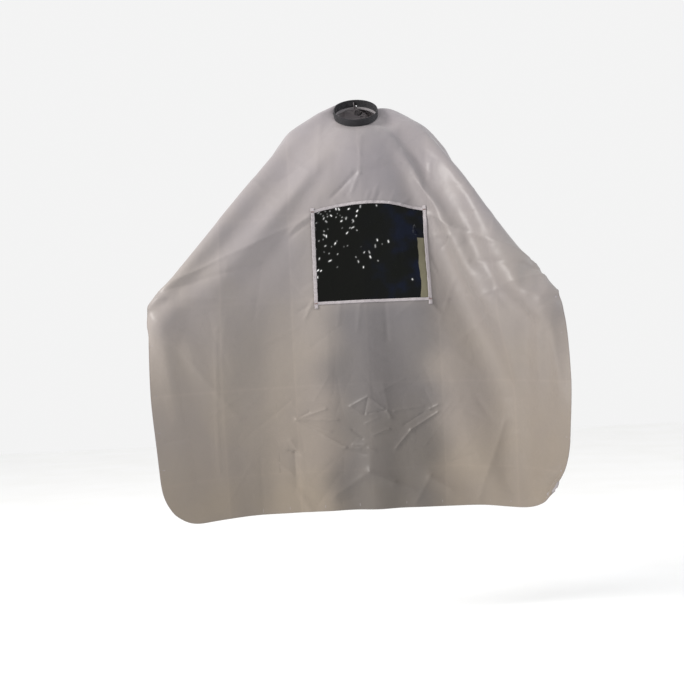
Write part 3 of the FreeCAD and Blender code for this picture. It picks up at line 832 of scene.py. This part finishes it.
for _ in range(BROAD_DENTS):
    dent_a = chance.uniform(-WINDOW_HALF, WINDOW_HALF)
    dent_h = chance.uniform(0, WINDOW_SIDE + WINDOW_ARCH)
    lean = chance.uniform(0, math.pi)
    height = chance.uniform(-0.0011, 0.0011)
    film_lift += dent(dent_a, dent_h, lean, chance.uniform(0.006, 0.035), height, 0.006)
for x, z, half_length in DENTS_AND_GLINTS:
    lean = chance.uniform(0.3, 2.6)
    dent_a = x - WINDOW_MIDDLE
    dent_h = z - WINDOW_FOOT
    film_lift += dent(dent_a, dent_h, lean, half_length, DENT_HEIGHT, 0.004)
    # Painted glint: a white mark along the dent.
    mark = dent(dent_a, dent_h, lean, 0.8 * half_length, chance.uniform(0.5, 1.0), 0.0010)
    painted_glints = np.maximum(painted_glints, mark)
# Faint painted glints near the upper left, white marks without dents.
for _ in range(FAINT_GLINTS):
    dent_a = -WINDOW_HALF + abs(chance.normal(0, 0.075))
    dent_h = WINDOW_SIDE + WINDOW_ARCH * 0.6 - abs(chance.normal(0, 0.085))
    mark = dent(dent_a, dent_h, chance.uniform(0.3, 2.6), 0.0008, chance.uniform(0.1, 0.55), 0.0009)
    painted_glints = np.maximum(painted_glints, mark)
at_edge = np.minimum.reduce([
    WINDOW_HALF - np.abs(film_a), film_h, window_top(film_a / WINDOW_HALF) - film_h
])
film_lift *= np.clip(at_edge / 0.02, 0, 1)
film_lift += 0.002 * np.sin(film_a * 31 + 1) * np.sin(film_h * 23) * np.clip(at_edge / 0.03, 0, 1)
film_air = [
    place(*to_flat(a, h), lift - FILM_UNDER)[0] for (a, h), lift in zip(film_net, film_lift)
]
film_faces = []
for j in range(tall):
    for i in range(wide):
        corner = j * (wide + 1) + i
        film_faces.append((corner, corner + 1, corner + wide + 2, corner + wide + 1))
film = show("window_clear_film", film_air, film_faces)
remember(film, "painted_glints", painted_glints)
remember(film, "film_a", film_a)
remember(film, "film_h", film_h)
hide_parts("window_film")
print("film", len(film_net), "points, dents", len(DENTS_AND_GLINTS), "white")

# %% [markdown]
# ## Tapes round the window
#
# Four lengths of woven tape bind the film to the cloth. The side tapes run past the corners as short
# tails. The thread pulls the tape shorter than the film, so it puckers. A tape is a flat tube swept
# along a line in the flat cut, with its puckers as waves in the lift. The hem is the same kind of
# strip, laid behind the cloth's edge, where the real cloth is turned in.

# %% Tapes and hem as swept strips
def walk(corners, step):
    """Even points along a line with corners, given as flat places, at most step apart."""
    points = []
    for (u1, v1), (u2, v2) in zip(corners, corners[1:]):
        count = max(1, int(math.hypot(u2 - u1, v2 - v1) / step))
        for n in range(count):
            points.append((u1 + (u2 - u1) * n / count, v1 + (v2 - v1) * n / count))
    points.append(tuple(corners[-1]))
    return points


def run_and_side(path):
    """For each point of a path: the length so far, and the direction to its right."""
    found = []
    run = 0.0
    for n, (u, v) in enumerate(path):
        before, after = path[max(0, n - 1)], path[min(len(path) - 1, n + 1)]
        du, dv = after[0] - before[0], after[1] - before[1]
        length = math.hypot(du, dv)
        if n:
            run += math.hypot(u - path[n - 1][0], v - path[n - 1][1])
        found.append((run, (-dv / length, du / length)))
    return found


def strip(name, path, width, thick, lift, pucker, pitch, samples=5):
    """A flat tube along a path in the flat cut."""
    points = []
    for (u, v), (run, (su, sv)) in zip(path, run_and_side(path)):
        wave = pucker * math.sin(run / pitch * 2 * math.pi)
        wave += pucker * 0.6 * math.sin(run / pitch * 3.7 + 1.3)
        wander = 0.4 * pucker * math.sin(run / pitch * 2.3 + 0.4)
        ring = []
        for layer in (1, -1):
            for k in range(samples):
                across_strip = layer * (2 * k / (samples - 1) - 1)
                offset = across_strip * width / 2 + wander
                dome = 0.75 + 0.25 * (1 - across_strip**2)
                height = lift + layer * thick / 2 * dome + wave * (1 - 0.4 * across_strip)
                ring.append(place(u + su * offset, v + sv * offset, height)[0])
        points.extend(ring)
    size = 2 * samples
    faces = []
    for n in range(len(path) - 1):
        for k in range(size):
            m = (k + 1) % size
            faces.append((n * size + k, (n + 1) * size + k, (n + 1) * size + m, n * size + m))
    faces.append(tuple(range(size)))
    faces.append(tuple(reversed(range((len(path) - 1) * size, len(path) * size))))
    return show(name, points, faces)


SIDE_TAPE = 0.0100
CROSS_TAPE = 0.0080
TAPE_LAP = 0.0050
TAPE_THICK = 0.0009
TAPE_LIFT = 0.0012
TAIL = 0.013
tape_line = WINDOW_HALF + TAPE_LAP - SIDE_TAPE / 2
arch_path = [
    (share * tape_line, window_top(share) - TAPE_LAP + CROSS_TAPE / 2)
    for share in np.linspace(-1, 1, 90)
]
foot_line = TAPE_LAP - CROSS_TAPE / 2
tape_paths = {
    "window_tape_left": [(-tape_line, -TAIL), (-tape_line, WINDOW_SIDE + 0.010)],
    "window_tape_right": [(tape_line, -TAIL), (tape_line, WINDOW_SIDE + 0.010)],
    "window_tape_bottom": [(-tape_line, foot_line), (tape_line, foot_line)],
    "window_tape_top": arch_path,
}
PUCKERS = {
    "window_tape_left": (0.0007, 0.011),
    "window_tape_right": (0.0005, 0.026),
    "window_tape_bottom": (0.0003, 0.020),
    "window_tape_top": (0.0004, 0.016),
}
tapes = []
flat_tape_paths = {}
for name, corners in tape_paths.items():
    path = walk([to_flat(a, h) for a, h in corners], 0.0028)
    flat_tape_paths[name] = path
    on_top = name in ("window_tape_left", "window_tape_right")
    over = TAPE_LIFT + (0.0008 if on_top else 0)
    width = SIDE_TAPE if on_top else CROSS_TAPE
    tape = strip("sewn_" + name, path, width, TAPE_THICK, over, *PUCKERS[name])
    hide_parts(name)
    tapes.append(tape)

HEM_WIDTH = 0.017
HEM_THICK = 0.0006
edge = CUT_WIDTH / 2 - HEM_WIDTH / 2
foot_edge = NECK_TO_HEM - HEM_WIDTH / 2
back_edge = -NECK_TO_BACK + HEM_WIDTH / 2


def half_hem(side):
    """The hem's middle line from the neck's slit, round one side, to the middle of the front."""
    radius = LEFT_CORNER if side < 0 else RIGHT_CORNER
    bend_centre = (CUT_WIDTH / 2 - radius, NECK_TO_HEM - radius)
    bend = radius - HEM_WIDTH / 2
    line = [(side * HEM_WIDTH / 2, -NECK_RADIUS - 0.004), (side * HEM_WIDTH / 2, back_edge)]
    line += [(side * edge, back_edge), (side * edge, bend_centre[1])]
    for k in range(1, 16):
        turn = math.pi / 2 * k / 16
        out, down = bend * math.cos(turn), bend * math.sin(turn)
        line.append((side * (bend_centre[0] + out), bend_centre[1] + down))
    line += [(side * bend_centre[0], foot_edge), (0, foot_edge)]
    return line


hem_line = half_hem(-1) + list(reversed(half_hem(1)))[1:]
hem_path = walk(hem_line, 0.008)
hem = strip("cape_hem", hem_path, HEM_WIDTH, HEM_THICK, -HEM_THICK, 0.0002, 0.019, samples=4)
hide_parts("cape_shell")
print("tapes", [t.name for t in tapes], "hem", len(hem_path), "steps")

# %% [markdown]
# ## Stitches
#
# Every sewn line is a row of single stitches: short thread ends that dive into the cloth. A row is
# laid along a line of points and normals, so the same function serves the flat cut and the neck.

# %% Thread
THREAD = 0.00022


def even(points, step):
    """Points of a line in the air at even steps, with blended normals."""
    spots = np.array([p[:] for p, _ in points])
    normals = np.array([n[:] for _, n in points])
    runs = np.concatenate([[0], np.cumsum(np.linalg.norm(np.diff(spots, axis=0), axis=1))])
    wanted = np.arange(0, runs[-1], step)
    spots = np.stack([np.interp(wanted, runs, spots[:, k]) for k in range(3)], axis=1)
    normals = np.stack([np.interp(wanted, runs, normals[:, k]) for k in range(3)], axis=1)
    return spots, normals


def stitches(points, pitch, cover=0.8, thread=THREAD):
    """Thread pieces along a line, as points and faces. cover is the thread's share of the pitch."""
    spots, normals = even(points, pitch / 5)
    made, faces = [], []
    for n in range(0, len(spots) - 5, 5):
        start, end = spots[n], spots[n + 4]
        ahead = Vector(end - start).normalized()
        up = Vector(normals[n + 2]).normalized()
        side = ahead.cross(up).normalized()
        first = len(made)
        for share, thin, rise in ((0, 0.4, -1.2), (0.15, 1, 0.5), (0.85, 1, 0.5), (1, 0.4, -1.2)):
            middle = Vector(start + (end - start) * share * cover / 0.8) + up * thread * rise
            for k in range(5):
                angle = 2 * math.pi * k / 5
                around = side * math.cos(angle) + up * math.sin(angle)
                made.append(middle + around * thread * thin)
        for ring in range(3):
            for k in range(5):
                m = (k + 1) % 5
                low, high = first + ring * 5, first + ring * 5 + 5
                faces.append((low + k, low + m, high + m, high + k))
    return made, faces


def sew(name, lines, pitch, body="cape", thread=THREAD):
    """One piece from all the rows of stitches that share a thread."""
    points, faces = [], []
    for line in lines:
        made, found = stitches(line, pitch, thread=thread)
        faces += [tuple(n + len(points) for n in face) for face in found]
        points += made
    piece = show(name, points, faces, body)
    return piece


def beside(path, offset, lift):
    """The line at this distance beside a flat path, in the air."""
    line = []
    for (u, v), (_, (su, sv)) in zip(path, run_and_side(path)):
        line.append(place(u + su * offset, v + sv * offset, lift))
    return line


tape_rows = []
for name, path in flat_tape_paths.items():
    on_top = name in ("window_tape_left", "window_tape_right")
    over = 0.0024 if on_top else 0.0017
    width = SIDE_TAPE if on_top else CROSS_TAPE
    for offset in (-width / 2 + 0.0016, width / 2 - 0.0016):
        tape_rows.append(beside(path, offset, over))
tape_thread = sew("window_tape_stitches", tape_rows, 0.0036)
hem_rows = []
for side in (-1, 1):
    inner = walk(half_hem(side), 0.005)
    hem_rows.append(beside(inner, -side * (HEM_WIDTH / 2 - 0.0015), 0.0002))
hem_thread = sew("cape_hem_stitches", hem_rows, 0.0042)
print("stitches", len(tape_thread.data.polygons) // 15, "and", len(hem_thread.data.polygons) // 15)

# %% [markdown]
# ## Bar tacks
#
# Each corner of the window is locked by a bar tack, a dense block of zigzag thread. It is laid as
# close thread loops across a short bar, standing a little proud of the tape.

# %% Bar tacks at the corners
TACK_LONG = 0.009
TACK_WIDE = 0.0030
TACK_TURNS = 29


def bar_tack(a, h):
    """Zigzag thread across a short bar, as one line in the air."""
    line = []
    for n in range(TACK_TURNS):
        along_bar = (n / (TACK_TURNS - 1) - 0.5) * TACK_LONG
        across_bar = TACK_WIDE / 2 * (1 if n % 2 else -1)
        line.append(place(*to_flat(a + along_bar, h + across_bar), 0.0030))
    return line


corners = [(-tape_line, foot_line), (tape_line, foot_line)]
corners += [(-tape_line, WINDOW_SIDE - 0.001), (tape_line, WINDOW_SIDE - 0.001)]
tack_thread = sew("window_tack_thread", [bar_tack(a, h) for a, h in corners], 0.0016,
                  thread=0.00042)
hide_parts("window_bar_tacks")
print("bar tacks", len(corners))

# %% [markdown]
# ## Neck band
#
# The band is ribbed elastic, woven in one length and open at the nape. It stands on the cloth's neck
# edge and leans with the neck. Its ribs run up and down, and each is a real ridge. The sizes are
# measured from the CAD piece in the neck's own frame: angle, radius and height. The seam binding,
# the closing tongue and the tape at its root are strips of the same kind, with finer ribs.

# %% Neck pieces
NECK_TURN = Matrix.Rotation(NECK_TILT, 3, "X")


def around_neck(angle, radius, height):
    """A spot given by its angle in degrees from +X, its radius and its height on the neck."""
    turn = math.radians(angle)
    return NECK_TURN @ Vector((radius * math.cos(turn), radius * math.sin(turn), height))


def neck_extent(node, about):
    """Lowest and highest angle, radius and height of a CAD node, with angles near this one."""
    found = []
    for vertex in frame["nodes"][node].data.vertices:
        x, y, z = NECK_TURN.transposed() @ vertex.co
        angle = (math.degrees(math.atan2(y, x)) - about + 180) % 360 - 180 + about
        found.append((angle, math.hypot(x, y), z))
    return [(min(c), max(c)) for c in zip(*found)]


def neck_strip(name, extent, steps, rib, rib_count, body="cape", taper=0.0, rows=7):
    """A strip bent round the neck. rib is the ribs' depth, taper the rounding of its far end."""
    (angle_1, angle_2), (inside, outside), (foot, top) = extent
    points = []
    for n in range(steps + 1):
        share = n / steps
        angle = angle_1 + (angle_2 - angle_1) * share
        ridge = rib * (0.5 + 0.5 * math.cos(share * rib_count * 2 * math.pi))
        narrow = 0.0
        if taper:
            past = max(0.0, (share - 1 + taper) / taper)
            narrow = (1 - math.sqrt(max(0.0, 1 - past**2))) * (top - foot) / 2
        ring = []
        for layer in (1, 0):
            for k in range(rows):
                up = k / (rows - 1) if layer else 1 - k / (rows - 1)
                round_edge = 0.25 * (outside - inside) * (2 * up - 1) ** 8
                radius = outside - round_edge - ridge if layer else inside + round_edge + ridge
                height = foot + narrow + (top - foot - 2 * narrow) * up
                ring.append(around_neck(angle, radius, height))
        points.extend(ring)
    size = 2 * rows
    faces = []
    for n in range(steps):
        for k in range(size):
            m = (k + 1) % size
            faces.append((n * size + k, n * size + m, (n + 1) * size + m, (n + 1) * size + k))
    faces.append(tuple(reversed(range(size))))
    faces.append(tuple(range(steps * size, (steps + 1) * size)))
    return show(name, points, faces, body)


def neck_line(angles, radius, height, outward=1):
    """A line round the neck with its normals."""
    line = []
    for angle in np.arange(angles[0], angles[1], 0.6):
        out = around_neck(angle, 1, 0) * outward
        line.append((around_neck(angle, radius, height), out.normalized()))
    return line


band_extent = neck_extent("neck_band", -90)
band = neck_strip("ribbed_neck_band", band_extent, 1120, 0.00045, 186)
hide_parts("neck_band")
binding_extent = neck_extent("neck_seam_binding", -90)
binding = neck_strip("folded_seam_binding", binding_extent, 360, 0.0002, 61, rows=5)
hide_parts("neck_seam_binding")
tongue_extent = neck_extent("closure_tongue", 116)
tongue = neck_strip("woven_closing_tongue", tongue_extent, 90, 0.0001, 40, "tongue", taper=0.12)
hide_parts("closure_tongue")
root_extent = neck_extent("tongue_root_tape", 76)
root = neck_strip("tongue_root_binding", root_extent, 20, 0.0001, 8, rows=5)
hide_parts("tongue_root_tape")
(tongue_1, tongue_2), (_, tongue_out), (tongue_foot, tongue_top) = tongue_extent
tongue_rows = [
    neck_line((tongue_1 + 1, tongue_2 - 7), tongue_out, tongue_foot + 0.002),
    neck_line((tongue_1 + 1, tongue_2 - 7), tongue_out, tongue_top - 0.002),
]
tongue_thread = sew("tongue_edge_stitches", tongue_rows, 0.0034, "tongue")
(band_1, band_2), (_, band_out), (band_foot, _) = band_extent
band_rows = [neck_line((band_1 + 2, band_2 - 2), band_out, band_foot + 0.002)]
band_thread = sew("band_foot_stitches", band_rows, 0.0034)
print("band", [tuple(round(c, 4) for c in pair) for pair in band_extent])
print("tongue", [tuple(round(c, 4) for c in pair) for pair in tongue_extent])

# %% [markdown]
# ## Materials
#
# Each material is a small set of nodes worked out from place. The cloth's tone runs from lilac grey
# at the neck to taupe at the hem, with painted shade, darker and cooler, where the wearer's dark clothes
# would show through it. The film is clear on the real object and shows those clothes, so it is nearly
# black here, with painted glints: white marks on the strongest dents. The studs, their caps and the
# sockets are hard moulded plastic. Their CAD pieces are already right in shape, so they only get a
# material.

# %% Materials
def srgb(red, green, blue):
    """Colour from the usual 0 to 255 numbers."""
    return tuple((c / 255 / 12.92 if c < 10.3 else ((c / 255 + 0.055) / 1.055) ** 2.4)
                 for c in (red, green, blue)) + (1.0,)


class Look:
    """A material and short ways to add its nodes."""

    def __init__(self, name, roughness, specular=0.5, sheen=0.0):
        self.material = bpy.data.materials.new(name)
        self.material.use_nodes = True
        self.tree = self.material.node_tree
        self.surface = self.tree.nodes["Principled BSDF"]
        self.surface.inputs["Roughness"].default_value = roughness
        self.surface.inputs["Specular IOR Level"].default_value = specular
        self.surface.inputs["Sheen Weight"].default_value = sheen

    def add(self, kind, **inputs):
        """A node. A socket gets a plain value, or the output of another node."""
        node = self.tree.nodes.new(kind)
        for name, value in inputs.items():
            self.feed(node, name.replace("_", " "), value)
        return node

    def feed(self, node, socket, value):
        socket = node.inputs[int(socket)] if socket.isdigit() else node.inputs[socket]
        if isinstance(value, bpy.types.NodeSocket):
            self.tree.links.new(value, socket)
        else:
            socket.default_value = value

    def stored(self, name):
        """The number that the piece keeps under this name."""
        node = self.add("ShaderNodeAttribute")
        node.attribute_name = name
        return node.outputs["Fac"]

    def place(self):
        return self.add("ShaderNodeTexCoord").outputs["Object"]

    def noise(self, scale, detail=3.0, vector=None):
        node = self.add("ShaderNodeTexNoise", Scale=scale, Detail=detail)
        self.feed(node, "Vector", vector or self.place())
        return node.outputs["Fac"]

    def maths(self, kind, first, second=0.0):
        node = self.add("ShaderNodeMath")
        node.operation = kind
        self.feed(node, "0", first)
        self.feed(node, "1", second)
        return node.outputs["Value"]

    def ramp(self, share, stops):
        """Colours by a number. stops are (position, colour)."""
        node = self.add("ShaderNodeValToRGB", Fac=share)
        band = node.color_ramp
        while len(band.elements) < len(stops):
            band.elements.new(0.5)
        for element, (position, colour) in zip(band.elements, stops):
            element.position = position
            element.color = colour
        return node.outputs["Color"]

    def mix(self, share, first, second, kind="MIX"):
        node = self.add("ShaderNodeMix")
        node.data_type = "RGBA"
        node.blend_type = kind
        self.feed(node, "0", share)
        self.feed(node, "6", first)
        self.feed(node, "7", second)
        return node.outputs[2]

    def bump(self, height, strength, distance, below=None):
        node = self.add("ShaderNodeBump", Strength=strength, Distance=distance, Height=height)
        if below:
            self.feed(node, "Normal", below)
        return node.outputs["Normal"]

    def set(self, **inputs):
        for name, value in inputs.items():
            self.feed(self.surface, name.replace("_", " "), value)

    def on(self, *pieces):
        for piece in pieces:
            piece.data.materials.clear()
            piece.data.materials.append(self.material)


def weave(look, vector, scale):
    """Two crossed sets of threads as a height."""
    sets = []
    for direction in ("X", "Y"):
        wave = look.add("ShaderNodeTexWave", Vector=vector, Scale=scale, Distortion=0.4)
        wave.bands_direction = direction
        sets.append(wave.outputs["Fac"])
    return look.maths("MULTIPLY", *sets)


def flat_place(look):
    """The place in the flat cut, so that the weave follows the cloth."""
    node = look.add("ShaderNodeCombineXYZ", X=look.stored("flat_u"), Y=look.stored("flat_v"))
    return node.outputs["Vector"]


def cloth_look():
    """Thin polyester with a water-repelling coat: lilac grey above, taupe below."""
    look = Look("coated_polyester", 0.42, 0.35, 0.15)
    where = flat_place(look)
    down = look.maths("MULTIPLY", look.stored("flat_v"), 0.88)
    tone = look.ramp(down, [
        (0.00, srgb(*CLOTH_TONES[0])), (0.35, srgb(*CLOTH_TONES[1])),
        (0.62, srgb(*CLOTH_TONES[2])), (0.95, srgb(*CLOTH_TONES[3])),
    ])
    # Painted shade: darker and cooler where the wearer's dark clothes would show through, and in one
    # fold.
    painted_shade = look.ramp(look.stored("painted_shade"), [(0.0, (1, 1, 1, 1)), (1.0, (0.56, 0.585, 0.64, 1))])
    tone = look.mix(1.0, tone, painted_shade, "MULTIPLY")
    patch = look.ramp(look.noise(5.0, 2.0), [(0.35, (0.93, 0.93, 0.95, 1)), (0.65, (1, 0.99, 0.96, 1))])
    tone = look.mix(1.0, tone, patch, "MULTIPLY")
    fold_paleness = look.ramp(look.stored("fold_paleness"), [(0.0, (1, 1, 1, 1)), (1.0, (1.06, 1.055, 1.05, 1))])
    tone = look.mix(1.0, tone, fold_paleness, "MULTIPLY")
    threads = weave(look, where, 1400)
    speck = look.ramp(threads, [(0.0, (0.93, 0.93, 0.93, 1)), (1.0, (1, 1, 1, 1))])
    tone = look.mix(1.0, tone, speck, "MULTIPLY")
    broad = look.bump(look.noise(9.0, 3.0), 0.35, 0.012)
    soft = look.bump(look.noise(38.0, 3.0), 0.40, 0.0025, broad)
    fine = look.bump(threads, 0.12, 0.0003, soft)
    rough = look.maths("ADD", look.maths("MULTIPLY", look.noise(22.0), 0.16), 0.36)
    look.set(Base_Color=tone, Normal=fine, Roughness=rough)
    return look


def film_look():
    """Clear film over dark clothing: near black, with navy and olive parts and painted glints as white
    marks.
    """
    look = Look("clear_film", 0.10, 0.10)
    navy = look.ramp(look.noise(16.0, 2.0), [
        (0.40, srgb(11, 13, 11)), (0.52, srgb(12, 14, 16)), (0.66, srgb(12, 18, 34)),
    ])
    right = look.maths("ADD", look.maths("MULTIPLY", look.stored("film_a"), 5.0), 0.35)
    tone = look.mix(look.maths("MINIMUM", look.maths("MAXIMUM", right, 0.0), 1.0),
                    srgb(10, 11, 9), navy)
    edge = look.maths("SUBTRACT", look.stored("film_a"), WINDOW_HALF - 0.0190)
    edge = look.maths("ADD", edge, look.maths("MULTIPLY", look.noise(24.0, 1.0), 0.010))
    low = look.maths("SUBTRACT", 0.172, look.stored("film_h"))
    shown = look.maths("MULTIPLY", look.maths("GREATER_THAN", edge, 0.0),
                       look.maths("GREATER_THAN", low, 0.0))
    tone = look.mix(shown, tone, srgb(108, 104, 87))
    # Painted glints: white marks where the film's glint number is high.
    white = look.maths("MINIMUM", look.maths("MULTIPLY", look.stored("painted_glints"), 1.6), 1.0)
    white = look.maths("POWER", white, 1.5)
    tone = look.mix(white, tone, (1, 1, 1, 1))
    ripple = look.bump(look.noise(60.0, 2.0), 0.2, 0.001)
    look.set(Base_Color=tone, Normal=ripple)
    return look


def woven_look(name, tone, roughness, scale, sheen=0.2, depth=0.0004):
    """Tape, thread, elastic and the like: threads with small changes of tone."""
    look = Look(name, roughness, 0.25, sheen)
    where = look.place()
    threads = weave(look, where, scale)
    dark = tuple(c * 0.72 for c in tone[:3]) + (1.0,)
    colour = look.mix(threads, dark, tone)
    patch = look.ramp(look.noise(60.0), [(0.3, (0.88, 0.88, 0.88, 1)), (0.7, (1, 1, 1, 1))])
    look.set(Base_Color=look.mix(1.0, colour, patch, "MULTIPLY"),
             Normal=look.bump(threads, 0.5, depth))
    return look


def plastic_look():
    """Black moulded plastic with fine scuffs."""
    look = Look("moulded_plastic", 0.32, 0.5)
    scuff = look.noise(900.0, 4.0)
    tone = look.ramp(scuff, [(0.4, srgb(38, 38, 41)), (0.8, srgb(58, 58, 61))])
    rough = look.maths("ADD", look.maths("MULTIPLY", scuff, 0.3), 0.2)
    look.set(Base_Color=tone, Roughness=rough, Normal=look.bump(scuff, 0.1, 0.0001))
    return look


CLOTH_TONES = [(147, 141, 144), (141, 135, 134), (138, 130, 124), (131, 121, 110)]
cloth_look().on(shell, hem, hem_thread)
film_look().on(film)
woven_look("window_tape", srgb(182, 175, 178), 0.6, 1100).on(*tapes)
woven_look("tape_thread", srgb(196, 190, 193), 0.7, 4000).on(tape_thread)
woven_look("tack_thread", srgb(150, 124, 120), 0.7, 4000).on(tack_thread)
woven_look("ribbed_elastic", srgb(40, 39, 43), 0.75, 1300).on(band)
woven_look("seam_binding", srgb(150, 146, 149), 0.7, 1300).on(binding)
woven_look("tongue_webbing", srgb(44, 43, 47), 0.7, 1100).on(tongue, root)
woven_look("black_thread", srgb(52, 51, 55), 0.7, 4000).on(tongue_thread, band_thread)
studs = ["band_snap_studs", "band_stud_caps", "tongue_snap_sockets", "tongue_snap_caps"]
plastic_look().on(*[frame["nodes"][name] for name in studs])
print("materials", len(bpy.data.materials))

# %% [markdown]
# ## Floor, light and camera
#
# The cape hangs over a plain pale floor. One large soft light stands high on the left, in front of
# the cape, and a weaker one on the right, with pale light from all round, as in a bright room. The
# light from the side shows the creases. The camera is level and a little turned about its own line
# of sight, so the cape seems to lean.

# %% Stage
FLOOR_HEIGHT = -1.42
FLOOR_HALF = 6


def add_light(name, spot, aim, side, watts, colour):
    """A square soft light at a spot, facing its aim."""
    data = bpy.data.lights.new(name, "AREA")
    data.size = side
    data.energy = watts
    data.color = colour
    light = bpy.data.objects.new(name, data)
    light.location = spot
    light.rotation_mode = "QUATERNION"
    light.rotation_quaternion = (Vector(aim) - Vector(spot)).to_track_quat("-Z", "Y")
    bpy.context.scene.collection.objects.link(light)
    return light


floor_mesh = bpy.data.meshes.new("floor")
floor_corners = [
    (side_x * FLOOR_HALF, side_y * FLOOR_HALF, FLOOR_HEIGHT)
    for side_x, side_y in ((-1, -1), (1, -1), (1, 1), (-1, 1))
]
floor_mesh.from_pydata(floor_corners, [], [(0, 1, 2, 3)])
floor = bpy.data.objects.new("floor", floor_mesh)
bpy.context.scene.collection.objects.link(floor)
floor_look = Look("pale_floor", 0.8, 0.2)
grain = floor_look.ramp(floor_look.noise(3.0), [
    (0.3, (0.93, 0.93, 0.92, 1)), (0.7, (0.96, 0.96, 0.96, 1)),
])
floor_look.set(Base_Color=grain)
floor_look.on(floor)

world = bpy.data.worlds.new("pale_room")
world.use_nodes = True
world.node_tree.nodes["Background"].inputs["Color"].default_value = (1.0, 1.0, 1.0, 1.0)
world.node_tree.nodes["Background"].inputs["Strength"].default_value = 0.90
bpy.context.scene.world = world
add_light("key", (-2.7, -1.5, 0.9), (0, 0, -0.5), 0.9, 110, (1.0, 0.98, 0.95))
add_light("fill", (2.9, -0.9, 0.5), (0, 0, -0.6), 1.2, 26, (0.92, 0.95, 1.0))

FRONT_DISTANCE = 3.0
VIEW_WIDTH = 1.840
ROLL = math.radians(2.7)
data = bpy.data.cameras.new("camera")
data.sensor_width = 36
data.lens = 36 * FRONT_DISTANCE / VIEW_WIDTH
camera = bpy.data.objects.new("camera", data)
right = Vector((math.cos(ROLL), 0, -math.sin(ROLL)))
up = Vector((math.sin(ROLL), 0, math.cos(ROLL)))
camera.rotation_mode = "QUATERNION"
camera.rotation_quaternion = Matrix((right, up, right.cross(up))).transposed().to_quaternion()
camera.location = (-0.0687, -0.14 - FRONT_DISTANCE, -0.632)
bpy.context.scene.collection.objects.link(camera)
bpy.context.scene.camera = camera
bpy.context.scene.view_settings.view_transform = "Standard"
print("camera", tuple(round(c, 3) for c in camera.location), "lens", round(data.lens, 1))
